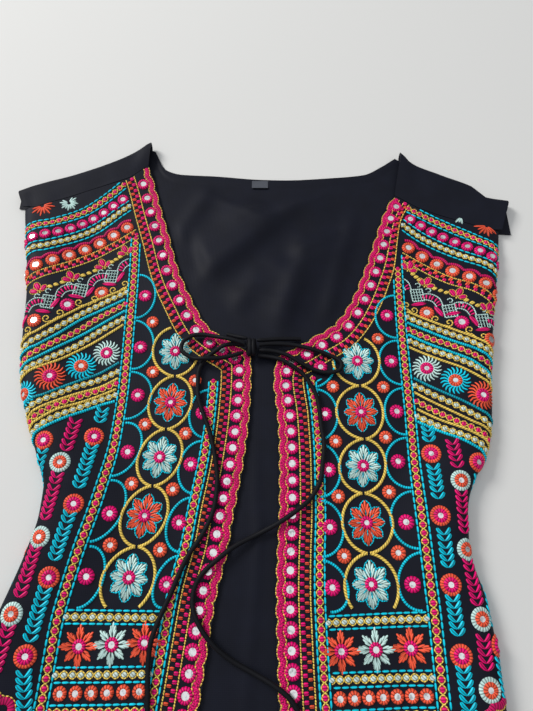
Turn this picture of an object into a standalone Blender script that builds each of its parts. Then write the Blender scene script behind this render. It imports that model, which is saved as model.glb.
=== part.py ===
"""Mirror-work waistcoat of black cotton, laid flat on its back.

The origin is the middle of the garment's box on the surface it lies on.
X runs across the garment, +Y towards the shoulders and +Z up, out of the two
embroidered fronts.  Tables are in millimetres, objects in metres.
"""

import math
from collections import namedtuple

import bmesh
import bpy
from mathutils import Vector

MM = 0.001

# Cloth and seams
BACK_WALL = 1.2
FRONT_WALL = 1.8
SEAM_GAP = 0.3
TRIM_GAP = 0.45

# Whole garment
HEM_Y = -254.0
SEAM_TIP_Y = {"left": 228.0, "right": 196.0}
SEAM_END_Y = {"left": 181.0, "right": 157.0}

# How high the laid garment stands
FRONT_REST = 3.4
SIDE_HEIGHT = 12.0
SHOULDER_HEIGHT = 8.0
SIDE_RISE_WIDTH = 55.0
SHOULDER_RISE_WIDTH = 60.0
SIDE_RISE_AT_SHOULDER = 4.0
SIDE_SETTLE_LENGTH = 45.0

# Side edge that rolls under, and the shoulder fold
ROLL_WIDTH = 10.0
TUCK_WIDTH = 8.0
FOLD_DEPTH = 4.0
ARMHOLE_SLIT = 3.0
SLIT_END = 20.0
UNDERARM_Y = -62.0

# Rows of cloth from the hem to the shoulder seams, the same in front and back
PANEL_ROWS = 27

# Trim along the neckline and front edges
SCALLOP_PITCH = 12.2
SCALLOP_LANE = 2.8
SCALLOP_HALF_WIDTH = 1.6
SCALLOP_WAVE = 0.7
SCALLOP_THICK = 0.9
ROSETTE_LANE = 9.7
ROSETTE_RADIUS = 4.3
ROSETTE_NECK = 1.6
ROSETTE_EDGE_THICK = 0.7
ROSETTE_THICK = 1.9

# Ovals and star flowers of the middle panels
OVAL_CORD_WIDTH = 2.6
OVAL_CORD_THICK = 1.1
OVAL_SEGMENTS = 18
STAR_POINTS = 8
STAR_TIP = 13.0
STAR_NOTCH = 8.6
STAR_THICK = 0.8
STAR_DOME = 1.9
STAR_DOME_RADIUS = 4.6

# Tie
CORD_DIAMETER = 3.8
CORD_STEP = 11.0
LABEL_SIZE = (15.0, 9.0, 0.8)
LABEL_CENTRE = (-2.5, 210.0)

SIDES = ("left", "right")
SIGN = {"left": -1.0, "right": 1.0}

OutlineRow = namedtuple("OutlineRow", "y side_left edge_left edge_right side_right")
OUTLINE = (
    OutlineRow(-254.0, -206.0, -47.0, 12.0, 160.0),
    OutlineRow(-200.0, -191.0, -39.0, 11.0, 152.5),
    OutlineRow(-165.0, -180.5, -34.3, 10.0, 152.0),
    OutlineRow(-135.0, -170.5, -30.0, 9.5, 149.3),
    OutlineRow(-105.0, -161.3, -23.0, 10.5, 143.0),
    OutlineRow(-80.0, -156.3, -19.3, 12.0, 145.0),
    OutlineRow(-62.0, -156.0, -16.0, 12.3, 150.5),
    OutlineRow(-40.0, -164.4, -12.5, 12.5, 164.0),
    OutlineRow(-10.0, -176.5, -9.3, 11.5, 173.0),
    OutlineRow(20.0, -186.2, -8.0, 8.5, 177.0),
    OutlineRow(40.0, -189.6, -8.0, 13.0, 181.0),
    OutlineRow(50.0, -190.6, -21.0, 30.0, 182.8),
    OutlineRow(57.0, -191.4, -32.0, 41.0, 184.2),
    OutlineRow(68.0, -192.3, -45.0, 58.0, 186.5),
    OutlineRow(90.0, -194.0, -57.5, 73.5, 191.5),
    OutlineRow(120.0, -198.5, -71.0, 86.5, 198.0),
    OutlineRow(150.0, -204.6, -80.0, 98.0, 205.0),
    OutlineRow(180.0, -211.0, -89.5, 110.0, 209.0),
    OutlineRow(210.0, -213.0, -98.5, 126.0, 212.0),
    OutlineRow(228.0, -214.0, -105.0, 129.0, 213.0),
)

# Shoulder seams on the front side, from the armhole to the neck and back
# (fold_x is where the same thread line crosses the shoulder fold)
SeamRow = namedtuple("SeamRow", "fold_x x y")
SEAMS = {
    "left": (
        SeamRow(-218.0, -212.0, 181.0),
        SeamRow(-205.0, -201.1, 181.0),
        SeamRow(-118.0, -120.9, 215.0),
        SeamRow(-104.0, -105.0, 228.0),
    ),
    "right": (
        SeamRow(127.0, 118.9, 196.0),
        SeamRow(148.0, 138.1, 183.0),
        SeamRow(199.0, 196.0, 157.0),
        SeamRow(218.0, 208.0, 157.0),
    ),
}

# Upper limit of the back: shoulder folds, neck points and the back neckline
TopRow = namedtuple("TopRow", "x y")
BACK_TOP = (
    TopRow(-218.0, 200.0),
    TopRow(-205.0, 206.0),
    TopRow(-169.0, 219.0),
    TopRow(-132.0, 236.0),
    TopRow(-110.0, 250.0),
    TopRow(-104.0, 254.0),
    TopRow(-98.0, 242.0),
    TopRow(-90.0, 227.0),
    TopRow(-75.0, 221.5),
    TopRow(-44.0, 219.5),
    TopRow(0.0, 215.5),
    TopRow(21.0, 215.0),
    TopRow(63.0, 217.5),
    TopRow(93.0, 221.0),
    TopRow(111.0, 231.0),
    TopRow(122.0, 239.0),
    TopRow(127.0, 242.0),
    TopRow(134.0, 233.0),
    TopRow(162.0, 218.0),
    TopRow(191.0, 203.0),
    TopRow(199.0, 193.0),
    TopRow(218.0, 189.0),
)
LineRow = namedtuple("LineRow", "x0 y0 x1 y1")
SHOULDER_LINES = {
    "left": LineRow(-218.0, 200.0, -104.0, 252.0),
    "right": LineRow(218.0, 189.0, 127.0, 238.0),
}
LEFT_NECK_POINT = -104.0
RIGHT_NECK_POINT = 127.0
EAR_HEIGHT = 2.5
EAR_WIDTH = 16.0

# Soft folds of the back that show inside the neck and down the front gap
FoldRow = namedtuple("FoldRow", "x0 y0 x1 y1 width height")
BACK_FOLDS = (
    FoldRow(-66.0, 118.0, 12.0, 186.0, 19.0, 5.0),
    FoldRow(-4.0, 62.0, 66.0, 160.0, 17.0, 4.2),
    FoldRow(-48.0, 176.0, 70.0, 188.0, 15.0, 2.4),
    FoldRow(-30.0, 82.0, 26.0, 132.0, 13.0, 3.0),
)
FOLD_CLEARANCE = 14.0
FOLD_LIMIT_Y = 208.0
FOLD_FADE = 30.0
FRONT_FOLDS = (
    FoldRow(-150.0, 60.0, -60.0, 96.0, 24.0, 1.0),
    FoldRow(-128.0, -60.0, -96.0, -230.0, 22.0, 1.2),
    FoldRow(96.0, 120.0, 160.0, 60.0, 24.0, 1.0),
    FoldRow(112.0, -50.0, 122.0, -230.0, 20.0, 1.2),
)

# Gold ovals down each front: centre and half sizes
OvalRow = namedtuple("OvalRow", "x y half_x half_y")
OVALS = {
    "left": (
        OvalRow(-71.5, 43.0, 17.0, 19.5),
        OvalRow(-69.0, 1.0, 16.0, 20.0),
        OvalRow(-75.0, -41.0, 16.5, 20.0),
        OvalRow(-83.0, -82.5, 18.0, 20.0),
        OvalRow(-90.5, -122.0, 18.0, 17.5),
    ),
    "right": (
        OvalRow(77.0, 36.0, 18.0, 19.5),
        OvalRow(75.5, -6.0, 17.5, 20.0),
        OvalRow(73.5, -47.0, 17.5, 19.5),
        OvalRow(73.5, -87.0, 18.0, 19.0),
        OvalRow(74.5, -125.0, 18.5, 17.5),
    ),
}
LOWER_FLOWERS = {
    "left": ((-118.0, -163.0), (-97.0, -162.0), (-76.0, -161.0)),
    "right": ((52.0, -166.0), (74.5, -165.0), (97.0, -164.0)),
}

# Route of each tie: x, y, z of the cord's middle line
TIE_ROUTES = {
    "tie_lead_left": (
        (-28.0, 59.0, 4.0),
        (-21.0, 56.6, 5.4),
        (-12.0, 53.8, 8.0),
    ),
    "tie_loop_left": (
        (-14.4, 48.4, 10.9),
        (-22.0, 50.6, 12.0),
        (-30.0, 52.8, 11.4),
        (-38.0, 55.0, 9.4),
        (-47.0, 57.0, 8.0),
        (-55.0, 56.5, 7.6),
        (-62.5, 51.0, 7.6),
        (-63.0, 43.0, 8.0),
        (-54.0, 37.0, 8.2),
        (-44.0, 35.5, 11.4),
        (-33.0, 36.5, 9.2),
        (-23.0, 39.2, 8.1),
        (-14.6, 42.2, 7.4),
    ),
    "tie_loop_right": (
        (-2.2, 48.0, 8.4),
        (8.0, 49.0, 8.0),
        (24.0, 48.5, 7.2),
        (40.0, 44.5, 7.7),
        (54.0, 39.5, 6.5),
        (61.5, 34.0, 7.6),
        (60.5, 27.5, 7.2),
        (50.0, 25.5, 6.3),
        (38.0, 29.0, 6.3),
        (28.0, 34.5, 8.0),
        (19.0, 40.0, 7.9),
        (8.0, 43.2, 7.5),
        (-2.2, 43.6, 8.0),
    ),
    "tie_lead_right": (
        (31.0, 54.8, 4.0),
        (22.0, 54.6, 5.0),
        (11.0, 53.9, 6.0),
        (-4.2, 52.2, 7.6),
    ),
    "tie_tail_left": (
        (-13.8, 49.0, 6.0),
        (-22.0, 49.4, 7.2),
        (-30.0, 47.5, 8.4),
        (-38.0, 42.5, 6.9),
        (-45.0, 36.0, 6.2),
        (-49.0, 28.0, 6.2),
        (-49.5, 18.0, 6.2),
        (-48.5, 5.0, 6.2),
        (-44.0, -8.0, 6.2),
        (-39.0, -21.0, 6.2),
        (-35.0, -36.0, 6.2),
        (-32.5, -50.0, 6.2),
        (-32.0, -62.0, 6.5),
        (-34.0, -78.0, 6.5),
        (-41.0, -94.0, 6.2),
        (-49.0, -106.0, 6.2),
        (-55.0, -118.0, 6.2),
        (-61.0, -133.0, 6.3),
        (-67.0, -147.0, 7.2),
        (-71.0, -160.0, 8.1),
        (-72.0, -174.0, 6.9),
        (-71.0, -190.0, 6.4),
        (-70.0, -205.0, 6.3),
    ),
    "tie_tail_right": (
        (-3.0, 40.2, 5.4),
        (7.0, 38.6, 5.9),
        (15.0, 36.0, 7.2),
        (24.0, 30.5, 7.0),
        (31.5, 24.5, 6.3),
        (37.0, 16.5, 6.2),
        (41.5, 7.0, 6.2),
        (43.5, -4.0, 6.2),
        (44.5, -18.0, 6.2),
        (46.0, -30.0, 6.2),
        (44.5, -44.0, 6.2),
        (42.0, -58.0, 6.2),
        (34.5, -70.0, 6.6),
        (25.0, -78.0, 8.0),
        (12.0, -86.5, 7.5),
        (-3.0, -94.0, 4.6),
        (-18.0, -101.5, 5.9),
        (-30.0, -110.5, 7.5),
        (-39.5, -119.0, 7.5),
        (-45.0, -129.0, 6.6),
        (-45.0, -141.0, 7.3),
        (-39.5, -152.0, 7.6),
        (-31.0, -162.0, 6.5),
        (-19.0, -171.0, 4.4),
        (-5.0, -178.0, 4.4),
        (8.0, -184.5, 6.6),
        (18.0, -191.5, 7.7),
        (25.0, -202.0, 7.1),
    ),
}
KNOT_CENTRE = (-8.4, 46.2, 8.2)
KNOT_HALF_SIZE = (5.4, 8.0, 4.6)


def make_material(name, colour, roughness, metallic=0.0):
    """Principled material of one piece."""
    material = bpy.data.materials.new(name)
    material.use_nodes = True
    shader = material.node_tree.nodes["Principled BSDF"]
    shader.inputs["Base Color"].default_value = (*colour, 1.0)
    shader.inputs["Roughness"].default_value = roughness
    shader.inputs["Metallic"].default_value = metallic
    material.diffuse_color = (*colour, 1.0)
    return material


def smooth_column(rows, key, column, at):
    """Value of a table's column at `at`, on a smooth curve that never overshoots."""
    keys = [getattr(row, key) for row in rows]
    values = [getattr(row, column) for row in rows]
    at = min(max(at, keys[0]), keys[-1])
    slopes = [(values[k + 1] - values[k]) / (keys[k + 1] - keys[k]) for k in range(len(keys) - 1)]
    tangents = [slopes[0]]
    for before, after in zip(slopes, slopes[1:]):
        same_way = before * after > 0.0
        tangents.append(2.0 * before * after / (before + after) if same_way else 0.0)
    tangents.append(slopes[-1])
    k = next((n for n in range(len(slopes)) if at <= keys[n + 1]), len(slopes) - 1)
    span = keys[k + 1] - keys[k]
    t = (at - keys[k]) / span
    return (
        values[k] * (1 + 2 * t) * (1 - t) ** 2
        + tangents[k] * span * t * (1 - t) ** 2
        + values[k + 1] * t * t * (3 - 2 * t)
        - tangents[k + 1] * span * t * t * (1 - t)
    )


def ease(t):
    """Smooth step from 0 to 1."""
    t = min(max(t, 0.0), 1.0)
    return t * t * (3.0 - 2.0 * t)


def lerp(a, b, t):
    """Value a share t of the way from a to b."""
    return a + (b - a) * t


def side_x(side, y):
    """Outermost X of the laid garment at height y."""
    return smooth_column(OUTLINE, "y", "side_" + side, y)


def edge_x(side, y):
    """X of a front's neckline or front edge at height y."""
    return smooth_column(OUTLINE, "y", "edge_" + side, y)


def straight_column(rows, key, column, at):
    """Value of a table's column at `at`, on straight runs between its rows."""
    for before, after in zip(rows, rows[1:]):
        low = getattr(before, key)
        high = getattr(after, key)
        if at <= high or after is rows[-1]:
            share = min(max((at - low) / (high - low), 0.0), 1.0)
            return lerp(getattr(before, column), getattr(after, column), share)
    raise ValueError("a table needs at least two rows")


def seam_y(side, x):
    """Y of the shoulder seam at x."""
    return straight_column(SEAMS[side], "x", "y", x)


def shoulder_line(side, x):
    """Y of a straight line along the shoulder at x."""
    row = SHOULDER_LINES[side]
    return lerp(row.y0, row.y1, (x - row.x0) / (row.x1 - row.x0))


def top_y(x):
    """Y of the back's upper limit at x."""
    return smooth_column(BACK_TOP, "x", "y", x)


def fold_lift(rows, x, y):
    """Height of the soft folds of a table at a point."""
    lift = 0.0
    for row in rows:
        along = Vector((row.x1 - row.x0, row.y1 - row.y0))
        offset = Vector((x - row.x0, y - row.y0))
        share = offset.dot(along) / along.length_squared
        across = abs(along.x * offset.y - along.y * offset.x) / along.length
        ends = ease(share / 0.25) * ease((1.0 - share) / 0.25)
        lift += row.height * ends * math.exp(-((across / row.width) ** 2))
    return lift


def front_height(side, x, y):
    """Height of the outer face of the cloth that lies on top."""
    sign = SIGN[side]
    inset = sign * (side_x(side, y) - x) - ROLL_WIDTH
    side_rise = (SIDE_HEIGHT - FRONT_REST) * (1.0 - ease(inset / SIDE_RISE_WIDTH))
    below_fold = shoulder_line(side, x) - y
    shoulder_rise = (SHOULDER_HEIGHT - FRONT_REST) * (1.0 - ease(below_fold / SHOULDER_RISE_WIDTH))
    near_top = ease((y - SEAM_END_Y[side] + SIDE_SETTLE_LENGTH) / SIDE_SETTLE_LENGTH)
    side_rise *= lerp(1.0, SIDE_RISE_AT_SHOULDER / (SIDE_HEIGHT - FRONT_REST), near_top)
    rise = (side_rise ** 4 + shoulder_rise ** 4) ** 0.25
    return FRONT_REST + rise + fold_lift(FRONT_FOLDS, x, y)


def back_lift(x, y):
    """Height of the back's folds, which fade out where a front lies on it."""
    inside = 1.0
    if y < SEAM_TIP_Y["left"]:
        left_room = x - edge_x("left", y) - FOLD_CLEARANCE
        right_room = edge_x("right", y) - x - FOLD_CLEARANCE
        inside = ease(left_room / FOLD_CLEARANCE) * ease(right_room / FOLD_CLEARANCE)
    near_neck_edge = ease((FOLD_LIMIT_Y - y) / FOLD_FADE)
    return fold_lift(BACK_FOLDS, x, y) * inside * near_neck_edge


def link(obj):
    """Put a new object into the scene."""
    bpy.context.scene.collection.objects.link(obj)
    return obj


def mesh_object(name, shell, material, smooth_angle=50.0):
    """Object made from a closed bmesh whose faces are turned outwards."""
    bmesh.ops.recalc_face_normals(shell, faces=shell.faces)
    mesh = bpy.data.meshes.new(name)
    shell.to_mesh(mesh)
    shell.free()
    mesh.materials.append(material)
    mesh.shade_smooth()
    mesh.set_sharp_from_angle(angle=math.radians(smooth_angle))
    return link(bpy.data.objects.new(name, mesh))


def wall_object(name, material, outer, inner, cells):
    """Closed wall between two matching grids of points, over the cells that exist."""
    shell = bmesh.new()
    corners = {}

    def corner(layer, points, key):
        if (layer, key) not in corners:
            corners[layer, key] = shell.verts.new(points[key] * MM)
        return corners[layer, key]

    for i, j in sorted(cells):
        ring = ((i, j), (i + 1, j), (i + 1, j + 1), (i, j + 1))
        shell.faces.new([corner("outer", outer, key) for key in ring])
        shell.faces.new([corner("inner", inner, key) for key in reversed(ring)])
        neighbours = ((i, j - 1), (i + 1, j), (i, j + 1), (i - 1, j))
        for n, neighbour in enumerate(neighbours):
            if neighbour in cells:
                continue
            first = ring[n]
            second = ring[(n + 1) % 4]
            shell.faces.new((
                corner("outer", outer, second),
                corner("outer", outer, first),
                corner("inner", inner, first),
                corner("inner", inner, second),
            ))
    return mesh_object(name, shell, material)


FRONT_COLUMNS = 12
SEAM_BEND = 5
ROLL_ANGLES = (30.0, 60.0, 90.0, 120.0, 150.0, 180.0)


def front_panel(side, material):
    """One embroidered front, with its side edge rolled under to the side seam."""
    sign = SIGN[side]
    outer = {}
    inner = {}
    for j in range(PANEL_ROWS + 1):
        up = j / PANEL_ROWS
        y_in = lerp(HEM_Y, SEAM_TIP_Y[side] - SEAM_GAP, up)
        y_out = lerp(HEM_Y, SEAM_END_Y[side] - SEAM_GAP, up)
        x_in = edge_x(side, y_in)
        x_roll = side_x(side, y_out) - sign * ROLL_WIDTH
        for i in range(FRONT_COLUMNS + 1):
            across = i / FRONT_COLUMNS
            x = lerp(x_in, x_roll, across)
            y = lerp(y_in, y_out, across)
            top_line = lerp(SEAM_TIP_Y[side], SEAM_END_Y[side], across)
            inside_ends = 1.0 if 0 < i < FRONT_COLUMNS else 0.0
            y += inside_ends * (seam_y(side, x) - top_line) * up ** SEAM_BEND
            height = front_height(side, x, y)
            outer[i, j] = Vector((x, y, height))
            inner[i, j] = Vector((x, y, height - FRONT_WALL))
        half = outer[FRONT_COLUMNS, j].z / 2.0
        for k, degrees in enumerate(ROLL_ANGLES):
            angle = math.radians(degrees)
            i = FRONT_COLUMNS + 1 + k
            reach = math.sin(angle)
            rise = math.cos(angle)
            outer[i, j] = Vector((x_roll + sign * ROLL_WIDTH * reach, y_out, half + half * rise))
            inner[i, j] = Vector((
                x_roll + sign * (ROLL_WIDTH - FRONT_WALL) * reach,
                y_out,
                half + (half - FRONT_WALL) * rise,
            ))
        last = FRONT_COLUMNS + len(ROLL_ANGLES) + 1
        outer[last, j] = Vector((x_roll - sign * TUCK_WIDTH, y_out, 0.0))
        inner[last, j] = Vector((x_roll - sign * TUCK_WIDTH, y_out, FRONT_WALL))
    cells = {(i, j) for i in range(last) for j in range(PANEL_ROWS)}
    return wall_object("front_" + side, material, outer, inner, cells)


BACK_COLUMNS_X = (
    -192.4, -155.0, -118.0, -104.0, -97.0, -88.0, -72.0, -56.0, -40.0, -24.0, -8.0, 8.0, 24.0,
    40.0, 56.0, 72.0, 88.0, 104.0, 116.0, 127.0, 148.0, 188.2,
)
LEFT_CORNER_X = (-218.0, -205.0)
RIGHT_CORNER_X = (199.0, 218.0)
YOKE_ROWS = 3
FOLD_ANGLES = (36.0, 72.0, 108.0, 144.0, 180.0)
STRIP_ROWS = 3
STEP_GAP = 1.5


def back_side_x(side, y):
    """X of the back's side edge, beside the turned-under edge of the front."""
    opened = ease((y - UNDERARM_Y) / SLIT_END) * ease((SEAM_END_Y[side] - y) / SLIT_END)
    slit = ARMHOLE_SLIT * opened
    inset = ROLL_WIDTH + TUCK_WIDTH + SEAM_GAP + slit
    return side_x(side, y) - SIGN[side] * inset


def back_panel(material):
    """Plain back, which comes over each shoulder to the seam on the front side."""
    columns = LEFT_CORNER_X + BACK_COLUMNS_X + RIGHT_CORNER_X
    first_main = len(LEFT_CORNER_X)
    last_main = first_main + len(BACK_COLUMNS_X) - 1
    neck_left = columns.index(LEFT_NECK_POINT)
    neck_right = columns.index(RIGHT_NECK_POINT)
    outer = {}
    inner = {}

    def lay(i, j, x, y):
        lift = back_lift(x, y)
        outer[i, j] = Vector((x, y, lift))
        inner[i, j] = Vector((x, y, lift + BACK_WALL))

    for i, x_top in enumerate(columns):
        main_share = (x_top - columns[first_main]) / (columns[last_main] - columns[first_main])
        for j in range(PANEL_ROWS + 1):
            up = j / PANEL_ROWS
            left_y = lerp(HEM_Y, SEAM_END_Y["left"] - SEAM_GAP, up)
            right_y = lerp(HEM_Y, SEAM_END_Y["right"] - SEAM_GAP, up)
            x = lerp(back_side_x("left", left_y), back_side_x("right", right_y), main_share)
            lay(i, j, x, lerp(left_y, right_y, main_share))
        on_fold = i <= neck_left or i >= neck_right
        y_step = outer[i, PANEL_ROWS].y + STEP_GAP
        y_end = top_y(x_top) - (FOLD_DEPTH if on_fold else 0.0)
        for k in range(YOKE_ROWS + 1):
            lay(i, PANEL_ROWS + 1 + k, x_top, lerp(y_step, y_end, k / YOKE_ROWS))
        if not on_fold:
            continue
        side = "left" if i <= neck_left else "right"
        neck_point = LEFT_NECK_POINT if side == "left" else RIGHT_NECK_POINT
        ear = EAR_HEIGHT * (1.0 - ease(abs(x_top - neck_point) / EAR_WIDTH))
        half = (front_height(side, x_top, y_end) + ear) / 2.0
        j = PANEL_ROWS + 1 + YOKE_ROWS
        for degrees in FOLD_ANGLES:
            j += 1
            angle = math.radians(degrees)
            reach = math.sin(angle)
            rise = 1.0 - math.cos(angle)
            outer[i, j] = Vector((x_top, y_end + FOLD_DEPTH * reach, half * rise))
            inner[i, j] = Vector((
                x_top,
                y_end + (FOLD_DEPTH - BACK_WALL) * reach,
                BACK_WALL + (half - BACK_WALL) * rise,
            ))
        seam_x = straight_column(SEAMS[side], "fold_x", "x", x_top)
        for k in range(1, STRIP_ROWS + 1):
            j += 1
            down = k / STRIP_ROWS
            x = lerp(x_top, seam_x, down)
            y = lerp(y_end, seam_y(side, seam_x) + SEAM_GAP, down)
            height = front_height(side, x, y) + ear * (1.0 - down)
            outer[i, j] = Vector((x, y, height))
            inner[i, j] = Vector((x, y, height - BACK_WALL))

    yoke_top = PANEL_ROWS + 1 + YOKE_ROWS
    strip_end = yoke_top + len(FOLD_ANGLES) + STRIP_ROWS
    cells = {(i, j) for i in range(first_main, last_main) for j in range(yoke_top)}
    cells |= {(i, j) for i in range(len(columns) - 1) for j in range(PANEL_ROWS + 1, yoke_top)}
    cells |= {(i, j) for i in range(neck_left) for j in range(yoke_top, strip_end)}
    cells |= {(i, j) for i in range(neck_right, len(columns) - 1) for j in range(yoke_top, strip_end)}
    return wall_object("back_panel", material, outer, inner, cells)


def offset_points(points, distance, sign):
    """Points of a line moved square to it, towards the side seam."""
    moved = []
    for n, point in enumerate(points):
        before = points[max(n - 1, 0)]
        after = points[min(n + 1, len(points) - 1)]
        run = (after - before).normalized()
        normal = Vector((run.y, -run.x)) * -sign
        moved.append(point + normal * distance)
    return moved


def lane_path(side, distance, step):
    """Line at one distance from a front's edge, from the neck to the hem, in even steps."""
    top = SEAM_TIP_Y[side] - 2.0
    count = int(top - HEM_Y)
    edge = []
    for n in range(count + 1):
        y = lerp(top, HEM_Y, n / count)
        edge.append(Vector((edge_x(side, y), y)))
    kept = []
    for point in offset_points(edge, distance, SIGN[side]):
        nearest = min((point - other).length_squared for other in edge)
        if nearest >= (distance - 0.05) ** 2:
            kept.append(point)
    travelled = [0.0]
    for before, after in zip(kept, kept[1:]):
        travelled.append(travelled[-1] + (after - before).length)
    steps = max(1, round(travelled[-1] / step))
    path = []
    k = 0
    for n in range(steps + 1):
        target = travelled[-1] * n / steps
        while k < len(kept) - 2 and travelled[k + 1] < target:
            k += 1
        share = (target - travelled[k]) / (travelled[k + 1] - travelled[k])
        path.append(kept[k].lerp(kept[k + 1], min(max(share, 0.0), 1.0)))
    return path


def path_normal(path, n):
    """Square direction to a path at its point n."""
    run = path[min(n + 1, len(path) - 1)] - path[max(n - 1, 0)]
    return Vector((run.y, -run.x)).normalized()


def ribbon(name, material, side, path, profile):
    """Raised strip along a path: profile(n) gives rows of (distance, thickness) across it."""
    shell = bmesh.new()
    sections = []
    for n, point in enumerate(path):
        normal = path_normal(path, n)
        upper = []
        lower = []
        for distance, thickness in profile(n):
            x, y = point + normal * distance
            seat = front_height(side, x, y) + TRIM_GAP
            upper.append(shell.verts.new(Vector((x, y, seat + thickness)) * MM))
            lower.append(shell.verts.new(Vector((x, y, seat)) * MM))
        sections.append((upper, lower))
    for (upper, lower), (next_upper, next_lower) in zip(sections, sections[1:]):
        loop = upper + lower[::-1]
        next_loop = next_upper + next_lower[::-1]
        for k in range(len(loop)):
            m = (k + 1) % len(loop)
            shell.faces.new((loop[k], loop[m], next_loop[m], next_loop[k]))
    for upper, lower in (sections[0], sections[-1]):
        for k in range(len(upper) - 1):
            shell.faces.new((upper[k], upper[k + 1], lower[k + 1], lower[k]))
    return mesh_object(name, shell, material)


def scallop_band(side, material):
    """Wavy satin band just inside the edge, one wave for each rosette."""
    path = lane_path(side, SCALLOP_LANE, SCALLOP_PITCH / 3.0)
    waves = (-1.0, 0.8, 0.8)

    def profile(n):
        shift = SCALLOP_WAVE * waves[n % 3]
        return (
            (shift - SCALLOP_HALF_WIDTH, SCALLOP_THICK),
            (shift + SCALLOP_HALF_WIDTH, SCALLOP_THICK),
        )

    return ribbon("scallop_" + side, material, side, path, profile)


def rosette_row(side, material):
    """Row of padded mirror rosettes that touch, along the scalloped band."""
    path = lane_path(side, ROSETTE_LANE, SCALLOP_PITCH / 3.0)

    def profile(n):
        full = (0.0, 1.0, 1.0)[n % 3]
        half = lerp(ROSETTE_NECK, ROSETTE_RADIUS, full)
        crown = lerp(ROSETTE_EDGE_THICK, ROSETTE_THICK, full)
        return ((-half, ROSETTE_EDGE_THICK), (0.0, crown), (half, ROSETTE_EDGE_THICK))

    return ribbon("rosettes_" + side, material, side, path, profile)


def oval_ring(name, side, row, material):
    """Gold cord laid in an oval round a flower."""
    shell = bmesh.new()
    rings = []
    for n in range(OVAL_SEGMENTS):
        angle = 2.0 * math.pi * n / OVAL_SEGMENTS
        ring = []
        for inset, thickness in ((0.0, 0.0), (0.0, 1.0), (1.0, 1.0), (1.0, 0.0)):
            x = row.x + (row.half_x - inset * OVAL_CORD_WIDTH) * math.cos(angle)
            y = row.y + (row.half_y - inset * OVAL_CORD_WIDTH) * math.sin(angle)
            z = front_height(side, x, y) + TRIM_GAP + thickness * OVAL_CORD_THICK
            ring.append(shell.verts.new(Vector((x, y, z)) * MM))
        rings.append(ring)
    for n, ring in enumerate(rings):
        following = rings[(n + 1) % OVAL_SEGMENTS]
        for k in range(4):
            m = (k + 1) % 4
            shell.faces.new((ring[k], ring[m], following[m], following[k]))
    return mesh_object(name, shell, material)


def star_flower(name, side, centre, size, material):
    """Flat eight-pointed flower with a raised rosette in its middle."""
    shell = bmesh.new()
    rim_low = []
    rim_high = []
    crown = []
    count = 2 * STAR_POINTS

    def seat(x, y):
        return front_height(side, x, y) + TRIM_GAP

    for n in range(count):
        angle = 2.0 * math.pi * n / count + math.pi / 2.0
        radius = size * (STAR_TIP if n % 2 == 0 else STAR_NOTCH)
        x = centre[0] + radius * math.cos(angle)
        y = centre[1] + radius * math.sin(angle)
        rim_low.append(shell.verts.new(Vector((x, y, seat(x, y))) * MM))
        rim_high.append(shell.verts.new(Vector((x, y, seat(x, y) + STAR_THICK)) * MM))
        x = centre[0] + size * STAR_DOME_RADIUS * math.cos(angle)
        y = centre[1] + size * STAR_DOME_RADIUS * math.sin(angle)
        crown.append(shell.verts.new(Vector((x, y, seat(x, y) + STAR_DOME)) * MM))
    for n in range(count):
        m = (n + 1) % count
        shell.faces.new((rim_low[n], rim_low[m], rim_high[m], rim_high[n]))
        shell.faces.new((rim_high[n], rim_high[m], crown[m], crown[n]))
    shell.faces.new(crown)
    shell.faces.new(rim_low[::-1])
    return mesh_object(name, shell, material)


def smooth_route(points, step):
    """Even points on a smooth curve through a route's own points."""
    route = [Vector(point) for point in points]
    fine = []
    for n in range(len(route) - 1):
        before = route[max(n - 1, 0)]
        start = route[n]
        end = route[n + 1]
        after = route[min(n + 2, len(route) - 1)]
        for k in range(12):
            t = k / 12.0
            fine.append(0.5 * (
                2.0 * start
                + (end - before) * t
                + (2.0 * before - 5.0 * start + 4.0 * end - after) * t ** 2
                + (3.0 * start - before - 3.0 * end + after) * t ** 3
            ))
    fine.append(route[-1])
    travelled = [0.0]
    for before, after in zip(fine, fine[1:]):
        travelled.append(travelled[-1] + (after - before).length)
    count = max(2, round(travelled[-1] / step))
    even = []
    k = 0
    for n in range(count + 1):
        target = travelled[-1] * n / count
        while k < len(fine) - 2 and travelled[k + 1] < target:
            k += 1
        share = (target - travelled[k]) / (travelled[k + 1] - travelled[k])
        even.append(fine[k].lerp(fine[k + 1], min(max(share, 0.0), 1.0)))
    return even


def tie_cord(name, points, material):
    """Round cord of turned cotton along one stretch of the tie."""
    curve = bpy.data.curves.new(name, "CURVE")
    curve.dimensions = "3D"
    curve.bevel_depth = CORD_DIAMETER / 2.0 * MM
    curve.bevel_resolution = 2
    curve.render_resolution_u = 0
    curve.use_fill_caps = True
    even = smooth_route(points, CORD_STEP)
    spline = curve.splines.new("POLY")
    spline.points.add(len(even) - 1)
    for slot, point in zip(spline.points, even):
        slot.co = (*(point * MM), 1.0)
    curve.materials.append(material)
    return link(bpy.data.objects.new(name, curve))


def knot(material):
    """Small tight knot in the middle of the bow."""
    shell = bmesh.new()
    bmesh.ops.create_uvsphere(shell, u_segments=12, v_segments=8, radius=1.0)
    for vert in shell.verts:
        for axis in range(3):
            vert.co[axis] *= KNOT_HALF_SIZE[axis] * MM
    obj = mesh_object("tie_knot", shell, material)
    obj.location = Vector(KNOT_CENTRE) * MM
    return obj


def label_tab(material):
    """Small bare woven tab at the middle of the back neck."""
    shell = bmesh.new()
    bmesh.ops.create_cube(shell, size=1.0)
    for vert in shell.verts:
        for axis in range(3):
            vert.co[axis] *= LABEL_SIZE[axis] * MM
    obj = mesh_object("label_tab", shell, material)
    height = BACK_WALL + SEAM_GAP + LABEL_SIZE[2] / 2.0
    obj.location = Vector((*LABEL_CENTRE, height)) * MM
    return obj


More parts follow.
